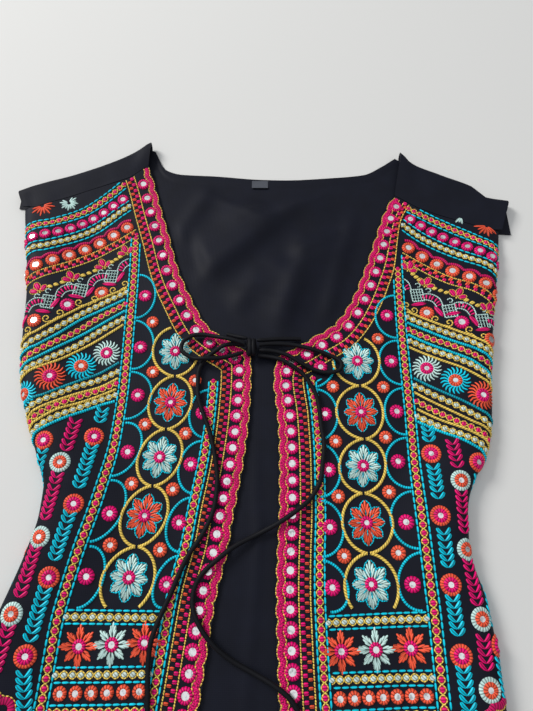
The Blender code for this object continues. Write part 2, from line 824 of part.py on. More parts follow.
def build_waistcoat():
    """Model every piece of the garment."""
    for obj in list(bpy.data.objects):
        bpy.data.objects.remove(obj, do_unlink=True)

    cotton = make_material("black_cotton", (0.012, 0.013, 0.019), 0.85)
    crimson = make_material("crimson_satin_stitch", (0.43, 0.005, 0.085), 0.45)
    magenta = make_material("magenta_satin_stitch", (0.68, 0.008, 0.19), 0.45)
    gold = make_material("gold_satin_stitch", (0.69, 0.43, 0.11), 0.4)
    silver = make_material("mint_silver_stitch", (0.40, 0.56, 0.51), 0.45)
    orange = make_material("orange_satin_stitch", (0.87, 0.09, 0.024), 0.45)
    tape = make_material("grey_label_tape", (0.045, 0.05, 0.065), 0.7)

    back_panel(cotton)
    for side in SIDES:
        front_panel(side, cotton)
        scallop_band(side, crimson)
        rosette_row(side, magenta)
        for n, row in enumerate(OVALS[side], start=1):
            oval_ring("oval_%s_%d" % (side, n), side, row, gold)
            thread = silver if n % 2 == 1 else orange
            star_flower("flower_%s_%d" % (side, n), side, (row.x, row.y), 1.0, thread)
        for n, centre in enumerate(LOWER_FLOWERS[side], start=1):
            thread = silver if n == 2 else orange
            star_flower("hem_flower_%s_%d" % (side, n), side, centre, 0.8, thread)
    label_tab(tape)
    for name, points in TIE_ROUTES.items():
        tie_cord(name, points, cotton)
    knot(cotton)


build_waistcoat()
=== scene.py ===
"""Mirror-work waistcoat of black cotton, laid flat: cloth, embroidery, tie and stage.

Tables and the flat coordinates on the cloth are in millimetres.
"""

import math
from collections import namedtuple

import bmesh
import bpy
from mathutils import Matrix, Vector
from mathutils import noise


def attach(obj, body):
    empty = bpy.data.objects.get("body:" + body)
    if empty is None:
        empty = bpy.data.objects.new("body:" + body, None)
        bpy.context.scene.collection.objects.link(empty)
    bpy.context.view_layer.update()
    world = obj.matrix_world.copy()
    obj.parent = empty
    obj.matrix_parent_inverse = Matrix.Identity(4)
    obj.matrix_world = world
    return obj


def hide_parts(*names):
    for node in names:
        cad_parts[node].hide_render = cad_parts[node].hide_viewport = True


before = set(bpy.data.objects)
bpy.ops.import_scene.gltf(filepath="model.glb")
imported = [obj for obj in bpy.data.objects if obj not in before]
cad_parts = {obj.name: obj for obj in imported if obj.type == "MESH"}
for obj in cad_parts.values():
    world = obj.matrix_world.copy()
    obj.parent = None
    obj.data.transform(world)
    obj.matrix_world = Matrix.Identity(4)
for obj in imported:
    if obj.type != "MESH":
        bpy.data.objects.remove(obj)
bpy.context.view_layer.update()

bl_info = {
    "name": "Mirror-work waistcoat",
    "version": (1, 0, 0),
    "blender": (4, 5, 0),
    "location": "View3D > Sidebar > Waistcoat",
    "description": "Builds an embroidered mirror-work waistcoat laid flat, with its tie",
    "category": "Object",
}

MM = 0.001


def table(kind, *rows):
    """Rows of a table with the columns of their kind."""
    return tuple(kind(*row) for row in rows)


SIDES = ("left", "right")
SIGN = {"left": -1.0, "right": 1.0}

# Garment's own sizes

HEM_Y = -254.0
SEAM_TIP_Y = {"left": 228.0, "right": 196.0}
SEAM_END_Y = {"left": 181.0, "right": 157.0}
SEAM_GAP = 0.3
SEAM_BEND = 5
FRONT_REST = 3.4
SIDE_HEIGHT = 12.0
SHOULDER_HEIGHT = 8.0
SIDE_RISE_WIDTH = 55.0
SHOULDER_RISE_WIDTH = 60.0
SIDE_RISE_AT_SHOULDER = 4.0
SIDE_SETTLE_LENGTH = 45.0
ROLL_WIDTH = 10.0
TUCK_WIDTH = 8.0
FOLD_DEPTH = 4.0
ARMHOLE_SLIT = 3.0
SLIT_END = 20.0
UNDERARM_Y = -62.0
EAR_HEIGHT = 2.5
EAR_WIDTH = 16.0
FOLD_CLEARANCE = 14.0
FOLD_LIMIT_Y = 208.0
FOLD_FADE = 30.0
STEP_GAP = 1.5

OutlineRow = namedtuple("OutlineRow", "y side_left edge_left edge_right side_right")
OUTLINE = table(
    OutlineRow,
    (-254, -206, -47, 12, 160),
    (-200, -191, -39, 11, 152.5),
    (-165, -180.5, -34.3, 10, 152),
    (-135, -170.5, -30, 9.5, 149.3),
    (-105, -161.3, -23, 10.5, 143),
    (-80, -156.3, -19.3, 12, 145),
    (-62, -156, -16, 12.3, 150.5),
    (-40, -164.4, -12.5, 12.5, 164),
    (-10, -176.5, -9.3, 11.5, 173),
    (20, -186.2, -8, 8.5, 177),
    (40, -189.6, -8, 13, 181),
    (50, -190.6, -21, 30, 182.8),
    (57, -191.4, -32, 41, 184.2),
    (68, -192.3, -45, 58, 186.5),
    (90, -194, -57.5, 73.5, 191.5),
    (120, -198.5, -71, 86.5, 198),
    (150, -204.6, -80, 98, 205),
    (180, -211, -89.5, 110, 209),
    (210, -213, -98.5, 126, 212),
    (228, -214, -105, 129, 213),
)

SeamRow = namedtuple("SeamRow", "fold_x x y")
SEAMS = {
    "left": table(
        SeamRow,
        (-218, -212, 181),
        (-205, -201.1, 181),
        (-118, -120.9, 215),
        (-104, -105, 228),
    ),
    "right": table(
        SeamRow,
        (127, 118.9, 196),
        (148, 138.1, 183),
        (199, 196, 157),
        (218, 208, 157),
    ),
}

TopRow = namedtuple("TopRow", "x y")
BACK_TOP = table(
    TopRow,
    (-218, 200),
    (-205, 206),
    (-169, 219),
    (-132, 236),
    (-110, 250),
    (-104, 254),
    (-98, 242),
    (-90, 227),
    (-75, 221.5),
    (-44, 219.5),
    (0, 215.5),
    (21, 215),
    (63, 217.5),
    (93, 221),
    (111, 231),
    (122, 239),
    (127, 242),
    (134, 233),
    (162, 218),
    (191, 203),
    (199, 193),
    (218, 189),
)
LineRow = namedtuple("LineRow", "x0 y0 x1 y1")
SHOULDER_LINES = {
    "left": LineRow(-218, 200, -104, 252),
    "right": LineRow(218, 189, 127, 238),
}
NECK_POINT = {"left": -104, "right": 127}
ARMHOLE_CORNER = {"left": (-218, -205), "right": (199, 218)}
BACK_MAIN_X = (-192.4, 188.2)

FoldRow = namedtuple("FoldRow", "x0 y0 x1 y1 width height")

# Camera of the photo, by which a pixel picked in it gives a place on the cloth
PHOTO_MIDDLE = (266.5, 355.5)
PHOTO_FOCAL = 535.0
PHOTO_LEAN = math.radians(22.0)
PHOTO_SCALE = 1250.0
PHOTO_ORIGIN = (-3.5, 118.0)
# Height of the cloth where a crease, a shoulder band and the rolled end of a band are seen
CREASE_HEIGHT = 3.0
BAND_HEIGHT = 6.0
BAND_END_HEIGHT = 5.0
BAND_END_PIXELS = (40, 482)


def seen_at(px, py, height):
    """Place on the cloth, to a tenth of a millimetre, of a pixel of the photo."""
    u, v = px - PHOTO_MIDDLE[0], py - PHOTO_MIDDLE[1]
    above = PHOTO_FOCAL * math.cos(PHOTO_LEAN) / PHOTO_SCALE - height / 1000.0
    t = above / (v * math.sin(PHOTO_LEAN) + PHOTO_FOCAL * math.cos(PHOTO_LEAN))
    x = t * u * 1000.0 - PHOTO_ORIGIN[0]
    y = t * (PHOTO_FOCAL * math.sin(PHOTO_LEAN) - v * math.cos(PHOTO_LEAN)) * 1000.0 - PHOTO_ORIGIN[1]
    return round(x, 1), round(y, 1)


def band_place(px, py):
    """Place of one picked point of a shoulder band."""
    rolled = px < BAND_END_PIXELS[0] or px > BAND_END_PIXELS[1]
    return seen_at(px, py, BAND_END_HEIGHT if rolled else BAND_HEIGHT)


def seen_crease(px0, py0, px1, py1, width, height):
    """Crease between two pixels of the photo."""
    return FoldRow(*seen_at(px0, py0, CREASE_HEIGHT), *seen_at(px1, py1, CREASE_HEIGHT), width, height)


BACK_FOLDS = table(
    FoldRow,
    (-66, 118, 12, 186, 19, 5),
    (-4, 62, 66, 160, 17, 4.2),
    (-48, 176, 70, 188, 15, 2.4),
    (-30, 82, 26, 132, 13, 3),
)
# Finer creases of the back: those picked in the photo by their pixels, then the rest
BACK_CREASES = tuple(seen_crease(*row) for row in (
    (186, 290, 312, 192, 9, 3),
    (276, 345, 308, 228, 9, 2.7),
    (322, 330, 356, 205, 7, 2.2),
    (168, 250, 214, 182, 8, 1.8),
    (288, 252, 345, 232, 7, 1.2),
    (232, 318, 262, 262, 7, 0.9),
)) + table(
    FoldRow,
    (-60, 204, 44, 150, 4.5, 0.7),
    (-40, 150, 70, 206, 3.5, 0.5),
    (20, 120, 88, 150, 4, 0.6),
    (-20, 96, 44, 84, 4, 0.6),
    (-8, 20, -2, -120, 3.5, 0.6),
    (2, -60, -14, -240, 4, 0.7),
)
FRONT_FOLDS = table(
    FoldRow,
    (-150, 60, -60, 96, 24, 1),
    (-128, -60, -96, -230, 22, 1.2),
    (96, 120, 160, 60, 24, 1),
    (112, -50, 122, -230, 20, 1.2),
)
# Shallow creases of the fronts
FRONT_CREASES = table(
    FoldRow,
    (-176, 4, -118, -24, 6, 0.5),
    (-168, -44, -126, -66, 6, 0.5),
    (-172, -128, -140, -196, 7, 0.6),
    (118, -34, 166, -22, 6, 0.5),
    (118, -98, 146, -84, 6, 0.5),
    (128, -206, 150, -150, 7, 0.6),
)

CORD_DIAMETER = 3.4
# Threads stay this far above the surface where a side rolls under
THREAD_FLOOR = 0.15
TIE_ROUTES = {
    "tie_lead_left": (
        (-28, 59, 4), (-21, 56.6, 5.4), (-12, 53.8, 8),
    ),
    "tie_loop_left": (
        (-14.4, 48.4, 10.9), (-22, 50.6, 12), (-30, 52.8, 11.4), (-38, 55, 9.4),
        (-47, 57, 8), (-55, 56.5, 7.6), (-62.5, 51, 7.6), (-63, 43, 8),
        (-54, 37, 8.2), (-44, 35.5, 11.4), (-33, 36.5, 9.2), (-23, 39.2, 8.1),
        (-14.6, 42.2, 7.4),
    ),
    "tie_loop_right": (
        (-2.2, 48, 8.4), (8, 49, 8), (24, 48.5, 7.2), (40, 44.5, 7.7),
        (54, 39.5, 6.5), (61.5, 34, 7.6), (60.5, 27.5, 7.2), (50, 25.5, 6.3),
        (38, 29, 6.3), (28, 34.5, 8), (19, 40, 7.9), (8, 43.2, 7.5),
        (-2.2, 43.6, 8),
    ),
    "tie_lead_right": (
        (31, 54.8, 4), (22, 54.6, 5), (11, 53.9, 6), (-4.2, 52.2, 7.6),
    ),
    "tie_tail_left": (
        (-13.8, 49, 6), (-22, 49.4, 7.2), (-30, 47.5, 8.4), (-38, 42.5, 6.9),
        (-45, 36, 6.2), (-49, 28, 6.2), (-49.5, 18, 6.2), (-48.5, 5, 6.2),
        (-44, -8, 6.2), (-39, -21, 6.2), (-35, -36, 6.2), (-32.5, -50, 6.2),
        (-32, -62, 6.5), (-34, -78, 6.5), (-41, -94, 6.2), (-49, -106, 6.2),
        (-55, -118, 6.2), (-61, -133, 6.3), (-67, -147, 7.2), (-71, -160, 8.1),
        (-72, -174, 6.9), (-71, -190, 6.4), (-70, -205, 6.3),
    ),
    "tie_tail_right": (
        (-3, 40.2, 5.4), (7, 38.6, 5.9), (15, 36, 7.2), (24, 30.5, 7),
        (31.5, 24.5, 6.3), (37, 16.5, 6.2), (41.5, 7, 6.2), (43.5, -4, 6.2),
        (44.5, -18, 6.2), (46, -30, 6.2), (44.5, -44, 6.2), (42, -58, 6.2),
        (34.5, -70, 6.6), (25, -78, 8), (12, -86.5, 7.5), (-3, -94, 4.6),
        (-18, -101.5, 5.9), (-30, -110.5, 7.5), (-39.5, -119, 7.5), (-45, -129, 6.6),
        (-45, -141, 7.3), (-39.5, -152, 7.6), (-31, -162, 6.5), (-19, -171, 4.4),
        (-5, -178, 4.4), (8, -184.5, 6.6), (18, -191.5, 7.7), (25, -202, 7.1),
    ),
}
KNOT_CENTRE = (-8.4, 46.2, 8.2)
KNOT_HALF_SIZE = (5.4, 8, 4.6)
LABEL_CENTRE = (-2.5, 210)

# Embroidery's own tables

# Flat distance of each line of trim from the neckline and front edge
EDGE_LANES = {
    "scallop": 3,
    "rosettes": 9.8,
    "gold_dash_a": 15.7,
    "bricks_a": 18,
    "bricks_b": 21.2,
    "gold_dash_b": 23.6,
    "teal_dash_a": 26.4,
    "chain": 29.8,
    "teal_dash_b": 33.2,
}
# Spacing of the edge's mirrors: height of one of them, pitch round the neck and down the front
EdgeMirrorRow = namedtuple("EdgeMirrorRow", "start_y neck_pitch neck_end_y front_pitch")
EDGE_MIRRORS = {
    "left": EdgeMirrorRow(208.5, 15.6, 58, 12.3),
    "right": EdgeMirrorRow(158, 14.2, 40, 12.1),
}

PointRow = namedtuple("PointRow", "x y")
# Border that runs down the outer side of each middle panel
OUTER_BORDER = {
    "left": table(
        PointRow,
        (-110, 151), (-108, 104), (-107.2, 66),
        (-107, 20), (-109, -24), (-116, -68),
        (-126, -110), (-134, -152), (-137, -191),
        (-143, -250),
    ),
    "right": table(
        PointRow,
        (115.5, 134), (113.5, 97), (112.5, 50),
        (112.5, 0), (111.5, -60), (112, -104),
        (113.5, -150), (113.5, -198), (114, -250),
    ),
}
# Slanting bands of each shoulder: styles side by side with their distance from the band's
# own line, and that line's pixels in the photo, from its inner end outwards on each front
BandRow = namedtuple("BandRow", "styles left right")
BANDS = table(
    BandRow,
    (
        (("teal_dash", -4.1), ("magenta_chain", 0), ("teal_dash", 4.1),),
        ((122, 185.5), (106, 197.5), (83, 211.5), (53, 223.5), (34, 229.5)),
        ((410, 207.5), (432, 218.5), (454, 229.5), (477, 241), (491, 249)),
    ),
    (
        (("magenta_rosettes", 0),),
        ((125, 196.5), (95, 216.5), (63, 232), (34, 241.5)),
        ((408, 216), (436, 232.5), (467, 248), (490, 260.5)),
    ),
    (
        (("teal_dash", -4.8), ("silver_chain", 0), ("teal_dash", 4.8),),
        ((129.5, 204), (118, 211.5), (97, 226.5), (71, 239.5), (47, 248.5), (34, 252)),
        ((403, 223), (419, 234.5), (442, 247), (465, 259), (490, 271.5)),
    ),
    (
        (("orange_rosettes", 0),),
        ((125, 227), (98, 243), (69, 257), (53, 263.5), (36, 271)),
        ((407.5, 245.5), (432, 261), (459, 276), (473, 282), (488, 291)),
    ),
    (
        (("gold_dash", -3.3), ("orange_bricks", -1.25), ("magenta_bricks", 1.35), ("gold_dash", 3.3),),
        ((129, 235.5), (110, 246.5), (70, 266.5), (32, 283.5)),
        ((402, 254.5), (425, 267.5), (450, 282), (470, 290), (488, 302)),
    ),
    (
        (("gold_cord", 0),),
        ((125, 287.5), (90, 302.5), (60, 320.5), (40, 333.5), (28, 341.5)),
        ((405, 309.5), (420, 316), (440, 325.5), (460, 334.5), (480, 344), (488, 350)),
    ),
    (
        (("silver_chain", 0),),
        ((125, 291.5), (104, 301.5), (80, 315), (62, 327), (44, 338.5), (30, 347.5)),
        ((407, 315.5), (425, 324), (450, 335.5), (469, 344), (482, 351), (487, 354.5)),
    ),
    (
        (("teal_cord", 0),),
        ((120, 300.5), (100, 310), (80, 320.5), (60, 335), (40, 347.5), (28, 354)),
        ((405, 320.5), (420, 327), (450, 341.5), (470, 350), (480, 355), (488, 361)),
    ),
    (
        (("magenta_chain", 0),),
        ((116, 308), (97, 318), (75, 333), (56, 344), (38, 355), (29, 361)),
        ((408, 327.5), (425, 336), (451, 347), (470, 356.5), (482, 363.5), (488, 368)),
    ),
    (
        (("teal_cord", 0),),
        ((122, 311.5), (100, 324), (80, 336), (60, 348), (40, 359.5), (28, 367)),
        ((408, 333), (430, 344), (460, 358), (470, 363), (480, 370), (488, 377)),
    ),
    (
        (("silver_chain", 0),),
        ((117, 321), (98, 331.5), (76, 346.5), (57, 357), (38, 367.5), (30, 371.5)),
        ((413, 341), (432, 350), (458, 361.5), (471, 368), (483, 376), (488, 380)),
    ),
    (
        (("gold_cord", 0),),
        ((122, 324.5), (100, 338), (80, 350), (60, 361.5), (40, 370), (30, 376)),
        ((409, 345.5), (440, 360.5), (460, 369.5), (480, 381), (488, 387)),
    ),
    (
        (("deep_teal_cord", 0),),
        ((121, 360), (100, 372), (80, 380.5), (60, 390), (45, 397), (34, 402)),
        ((412, 376), (440, 391.5), (460, 402), (480, 413.5), (487, 418.5)),
    ),
    (
        (("silver_chain", 0),),
        ((118, 370), (98, 379.5), (76, 387.5), (56, 397), (41, 404), (34, 409)),
        ((418, 386), (437, 397), (456, 407.5), (475, 418.5), (487, 426.5)),
    ),
    (
        (("gold_cord", 0),),
        ((120, 376), (100, 386), (80, 393), (60, 401.5), (40, 411), (32, 418)),
        ((416, 392), (430, 400.5), (450, 412), (470, 423), (486, 432)),
    ),
    (
        (("magenta_chain", 0),),
        ((116.5, 382), (96, 390.5), (75, 399), (53.5, 409), (40, 417), (34, 422)),
        ((418, 401), (436, 412), (455.5, 422.5), (475, 432), (486, 440.5)),
    ),
    (
        (("gold_cord", 0),),
        ((118, 387), (100, 394.5), (80, 403), (60, 410.5), (40, 422), (33, 428)),
        ((417, 408), (440, 420.5), (460, 429), (480, 439.5), (486, 445)),
    ),
    (
        (("silver_chain", 0),),
        ((110, 395.5), (95, 401), (74, 410.5), (52, 421), (39, 430.5), (34, 435)),
        ((422, 418), (442, 428.5), (461, 436.5), (475, 443.5), (483, 451)),
    ),
    (
        (("teal_cord", 0),),
        ((115, 400), (100, 404.5), (80, 413), (60, 422), (40, 433), (34, 440)),
        ((417, 420.5), (440, 432), (460, 441), (476, 450), (482, 455)),
    ),
)

# Chain of gold ovals: the points where they meet, and how far each one's cords reach
OvalRow = namedtuple("OvalRow", "low_x high_x")
OVAL_MEETINGS = {
    "left": ((-70, 65.5), (-67.9, 23.5), (-71.9, -18.8), (-78.7, -60.7), (-86.4, -102), (-92.5, -145)),
    "right": ((76, 57), (75.9, 15.6), (76.5, -26.3), (73, -65.9), (74, -106.3), (74.5, -149)),
}
OVALS = {
    "left": table(
        OvalRow,
        (-86.8, -50.9), (-86.5, -53.6), (-91, -59), (-99, -66.8),
        (-108.1, -72.6),
    ),
    "right": table(
        OvalRow,
        (56.1, 92.7), (56.8, 92.2), (56.9, 90.8), (57, 92),
        (56.4, 92.4),
    ),
}
LOWER_FLOWERS = {
    "left": ((-118, -163), (-97, -162), (-76, -161)),
    "right": ((52, -166), (74.5, -165), (97, -164)),
}
# Teal half rounds down both sides of each middle panel: two ends and the crown between
ArcRow = namedtuple("ArcRow", "x0 y0 crown_x crown_y x1 y1")
ARCS = {
    "left": table(
        ArcRow,
        (-103.5, 114, -88.5, 94, -103, 73.5), (-102.5, 71, -86.5, 49, -102.5, 29.5),
        (-102.5, 27, -85, 8, -104, -11), (-103, -14, -89.5, -32, -108.5, -54),
        (-109, -57, -97.5, -76, -118, -99), (-118, -102, -106.5, -120, -122, -140.5),
        (-41.5, 12, -55, -6, -43.5, -25), (-44, -28, -60.5, -46, -49.5, -66),
        (-50, -69, -66.5, -87, -56, -105.5), (-56.5, -108, -72, -124, -66, -140.5),
    ),
    "right": table(
        ArcRow,
        (109, 94, 92.5, 75, 108.5, 56), (108.5, 53.5, 92.5, 36, 108.5, 16.5),
        (108.5, 13.5, 93.5, -5, 108, -23), (108, -25.5, 91, -44, 107, -62.5),
        (107, -65, 91, -85, 108.5, -103.5), (108.5, -106, 92.5, -125, 106.5, -142),
        (42, 46, 57, 33, 41.5, 14.5), (41.5, 12.5, 57.5, -7, 42, -27),
        (42, -30, 57.5, -49, 42, -68.5), (42, -71, 57.5, -90, 42, -108.5),
        (42, -111, 58.5, -128, 46, -143),
    ),
}
# Small padded mirror rosettes: the panel's own, in the half rounds and between the ovals
MAGENTA_SPOTS = {
    "left": (
        (-97, 94), (-97, 48), (-95.5, 8), (-99, -36), (-107, -80), (-118, -121),
        (-45, -6), (-52, -45), (-58, -86), (-64, -126),
    ),
    "right": (
        (102, 76), (102, 36), (102.5, -5), (100, -43), (101, -86), (101.5, -126),
        (46, 31), (48, -7), (49, -49), (48, -89), (48, -128),
    ),
}
ORANGE_SPOTS = {
    "left": (
        (-89, 70), (-85.5, 27), (-88, -15), (-94, -59), (-104.5, -101),
        (-52, 20), (-57, -22), (-64, -63), (-70, -104),
    ),
    "right": (
        (93, 55.5), (94, 14.5), (92.5, -25), (91.5, -65), (94, -106),
        (55, 15), (55, -28), (55, -68), (57, -108),
    ),
}
# Shoulder bands' larger figures
SUNBURSTS = {
    "left": (
        ("mint", "magenta", -123.3, 42.9, 10.3), ("teal", "orange", -141.5, 31.1, 10.9),
        ("orange", "magenta", -162.7, 21.1, 11.1), ("teal", "orange", -180.6, 6.5, 10),
    ),
    "right": (
        ("mint", "magenta", 128.8, 29.4, 10.6), ("teal", "orange", 148.3, 17.8, 10.6),
        ("orange", "magenta", 166.6, 5.3, 10.8),
    ),
}
# Upright vines: thread, ringed rosettes down the vine, then its ends
VineRow = namedtuple("VineRow", "leaf ring core points spots")
VINES = {
    "left": table(
        VineRow,
        ("teal", "orange", "magenta",
                ((-121, -3), (-124, -25), (-132, -74), (-142, -122),
                 (-149.5, -168), (-147, -200), (-151, -224), (-155, -248)),
                ((-124.5, -25), (-131.5, -74), (-141.5, -121.5), (-150, -168), (-150, -220))),
        ("magenta", "mint", "orange",
                ((-139, -13), (-144, -45), (-152, -96), (-161, -143), (-169, -184)),
                ((-145, -45), (-151.5, -96), (-162, -143.5), (-171, -188))),
        ("teal", "orange", "magenta",
                ((-157, -24), (-163, -60), (-168, -96), (-176, -130)),
                ((-159, -29), (-170, -104))),
    ),
    "right": table(
        VineRow,
        ("teal", "orange", "magenta",
                ((124, -18), (124, -38), (124.5, -82), (125.5, -126),
                 (127, -167), (128, -208), (129, -246)),
                ((124, -38), (124, -82), (125.5, -126), (127, -167.5), (128, -212))),
        ("magenta", "mint", "orange",
                ((139.5, -29), (141, -58), (139.5, -104), (142, -146),
                 (141.5, -182)),
                ((141.5, -58), (139.5, -104), (143, -146.5), (142, -186))),
        ("teal", "orange", "magenta",
                ((156, -46), (158, -90), (152, -150), (155, -196)),
                ((156, -45), (153.5, -162))),
    ),
}
# Level bands under the ovals: style and height at the outer and inner ends
LevelRow = namedtuple("LevelRow", "style outer_y inner_y")
LEVEL_BANDS = {
    "left": table(
        LevelRow,
        ("teal_dash", -141.5, -142.5), ("silver_chain", -145.5, -146.5),
        ("teal_dash", -149.6, -150.4),
        ("teal_dash", -175, -174.5), ("silver_chain", -179.2, -178.8),
        ("teal_dash", -183.4, -183),
        ("orange_rosettes", -189.6, -188.2),
        ("teal_dash", -195.8, -195), ("magenta_chain", -199.8, -199),
        ("teal_dash", -203.8, -203),
    ),
    "right": table(
        LevelRow,
        ("teal_dash", -142.6, -145.4), ("silver_chain", -146.6, -149.4),
        ("teal_dash", -150.8, -153.4),
        ("teal_dash", -176.2, -178.2), ("silver_chain", -180.2, -182.2),
        ("teal_dash", -184.4, -186.4),
        ("orange_rosettes", -190.2, -192.6),
        ("teal_dash", -196.2, -199), ("magenta_chain", -200.2, -203),
        ("teal_dash", -204.2, -207),
    ),
}

# Row of trefoils, net squares, mirror rosettes and tendrils over each gold cord
MotifRow = namedtuple("MotifRow", "trefoils squares rosettes threads tendrils first_tendril")
MOTIF_ROWS = {
    "left": MotifRow(
        ((-180.9, 92.8), (-157.1, 106), (-133.3, 120.5), (-115.6, 134.3)),
        ((-173.5, 85), (-150.6, 98), (-127.4, 112.7)),
        ((-181.8, 67.8), (-158.6, 83.6), (-133.5, 97.1)),
        ("orange", "magenta", "orange"),
        ((-186.1, 59.4), (-172.5, 70), (-163.5, 75.6), (-150, 86.6), (-138.9, 90.8),
         (-124.1, 99.8), (-115.3, 105.4)),
        1,
    ),
    "right": MotifRow(
        ((122.7, 117.6), (135.3, 102.2), (158.5, 89.1), (180.1, 74.5)),
        ((128.6, 94.2), (152.1, 77.7), (176.2, 67.3)),
        ((134.2, 77.7), (159.6, 66.9), (180.6, 51.5)),
        ("orange", "magenta", "orange"),
        ((118.6, 85), (124.3, 80.4), (140.4, 71.4), (150, 67.3), (164.7, 59.8), (174.2, 53.7)),
        1,
    ),
}
# Barred arch beside a net square: its outer and inner line, inwards and up from the square
ARCH_OUTER = ((4.6, 5.2), (6.3, 12.2), (11.7, 16.8), (17.8, 17.6), (21.6, 16))
ARCH_INNER = ((9.4, 4.6), (12, 9.6), (17, 12), (20.4, 11.4))
# Flowers that the shoulder seam cuts through
CutStarRow = namedtuple("CutStarRow", "thread x y radius")
CUT_STARS = {
    "left": (CutStarRow("orange", -194.8, 182, 11), CutStarRow("mint", -172.4, 186.4, 8)),
    "right": (CutStarRow("orange", 195, 160.8, 11), CutStarRow("mint", 174.6, 171.4, 7.5)),
}
INNER_BORDER_TOP = {"left": 20, "right": 22}
# Share of the neck trim that turns under with the edge at the neck tip
NECK_SQUEEZE = {"left": 0, "right": 0.36}
# Scalloped crimson band that curves in at each lower corner
CORNER_BANDS = {
    "left": ((-188, -187), (-176, -188.5), (-163.5, -191.5), (-156, -196),
             (-154, -205), (-158, -222), (-162, -238), (-165, -252)),
    "right": ((160, -190), (150, -191.5), (141, -194.5), (136.5, -199),
              (135.5, -208), (136, -224), (136.5, -238), (137, -252)),
}

# Thread colours: sRGB hex of a stitch, and the share of it left in the painted shade between threads
ThreadRow = namedtuple("ThreadRow", "crown shade")
THREADS = {
    "magenta": ThreadRow("F40878", 0.2),
    "crimson": ThreadRow("D40A64", 0.24),
    "teal": ThreadRow("00D8F4", 0.24),
    "deep_teal": ThreadRow("00A8BE", 0.28),
    "gold": ThreadRow("FFDB66", 0.34),
    "orange": ThreadRow("FF6040", 0.24),
    "mint": ThreadRow("CDEFE9", 0.3),
    "silver": ThreadRow("D4E8E2", 0.36),
}
MIRROR = "mirror"

# Form of the cloth


def ease(t):
    """Smooth step from 0 to 1."""
    t = min(max(t, 0.0), 1.0)
    return t * t * (3.0 - 2.0 * t)


def lerp(a, b, t):
    """Value a share t of the way from a to b."""
    return a + (b - a) * t


def smooth_column(rows, key, column, at):
    """Value of a table's column at `at`, on a smooth curve that never overshoots."""
    keys = [getattr(row, key) for row in rows]
    values = [getattr(row, column) for row in rows]
    if keys[0] > keys[-1]:
        keys.reverse()
        values.reverse()
    at = min(max(at, keys[0]), keys[-1])
    slopes = [(values[k + 1] - values[k]) / (keys[k + 1] - keys[k]) for k in range(len(keys) - 1)]
    tangents = [slopes[0]]
    for before, after in zip(slopes, slopes[1:]):
        same_way = before * after > 0.0
        tangents.append(2.0 * before * after / (before + after) if same_way else 0.0)
    tangents.append(slopes[-1])
    k = next((n for n in range(len(slopes)) if at <= keys[n + 1]), len(slopes) - 1)
    span = keys[k + 1] - keys[k]
    t = (at - keys[k]) / span
    return (
        values[k] * (1 + 2 * t) * (1 - t) ** 2
        + tangents[k] * span * t * (1 - t) ** 2
        + values[k + 1] * t * t * (3 - 2 * t)
        - tangents[k + 1] * span * t * t * (1 - t)
    )


def straight_column(rows, key, column, at):
    """Value of a table's column at `at`, on straight runs between its rows."""
    for before, after in zip(rows, rows[1:]):
        low = getattr(before, key)
        high = getattr(after, key)
        if at <= high or after is rows[-1]:
            share = min(max((at - low) / (high - low), 0.0), 1.0)
            return lerp(getattr(before, column), getattr(after, column), share)
    raise ValueError("a table needs at least two rows")


class Profile:
    """Column of a table read once every half millimetre, for quick use."""

    STEP = 0.5

    def __init__(self, rows, key, column):
        keys = sorted(getattr(row, key) for row in rows)
        self.low = keys[0]
        count = int((keys[-1] - keys[0]) / self.STEP) + 1
        self.values = [
            smooth_column(rows, key, column, self.low + n * self.STEP) for n in range(count + 1)
        ]

    def __call__(self, at):
        place = min(max((at - self.low) / self.STEP, 0.0), len(self.values) - 1.001)
        n = int(place)
        return lerp(self.values[n], self.values[n + 1], place - n)


SIDE_X = {side: Profile(OUTLINE, "y", "side_" + side) for side in SIDES}
EDGE_X = {side: Profile(OUTLINE, "y", "edge_" + side) for side in SIDES}
TOP_Y = Profile(BACK_TOP, "x", "y")
BORDER_X = {side: Profile(OUTER_BORDER[side], "y", "x") for side in SIDES}


def seam_y(side, x):
    """Y of the shoulder seam at x."""
    return straight_column(SEAMS[side], "x", "y", x)


def fold_lift(rows, x, y):
    """Height of the soft folds of a table at a point."""
    lift = 0.0
    for row in rows:
        run_x = row.x1 - row.x0
        run_y = row.y1 - row.y0
        long = math.hypot(run_x, run_y)
        across = abs(run_x * (y - row.y0) - run_y * (x - row.x0)) / long
        if across > 2.6 * row.width:
            continue
        share = ((x - row.x0) * run_x + (y - row.y0) * run_y) / (long * long)
        ends = ease(share / 0.25) * ease((1.0 - share) / 0.25)
        lift += row.height * ends * math.exp(-((across / row.width) ** 2))
    return lift


def front_height(side, x, y):
    """Height of the outer face of a front, as the solid has it."""
    sign = SIGN[side]
    inset = sign * (SIDE_X[side](y) - x) - ROLL_WIDTH
    side_rise = (SIDE_HEIGHT - FRONT_REST) * (1.0 - ease(inset / SIDE_RISE_WIDTH))
    line = SHOULDER_LINES[side]
    line_y = lerp(line.y0, line.y1, (x - line.x0) / (line.x1 - line.x0))
    shoulder_rise = (SHOULDER_HEIGHT - FRONT_REST) * (
        1.0 - ease((line_y - y) / SHOULDER_RISE_WIDTH)
    )
    near_top = ease((y - SEAM_END_Y[side] + SIDE_SETTLE_LENGTH) / SIDE_SETTLE_LENGTH)
    side_rise *= lerp(1.0, SIDE_RISE_AT_SHOULDER / (SIDE_HEIGHT - FRONT_REST), near_top)
    rise = (side_rise ** 4 + shoulder_rise ** 4) ** 0.25
    return FRONT_REST + rise + fold_lift(FRONT_FOLDS, x, y)


def pucker(x, y, size, height):
    """Small uneven draw of stitched cloth."""
    return height * noise.noise(Vector((x / size, y / size, 0.37)))


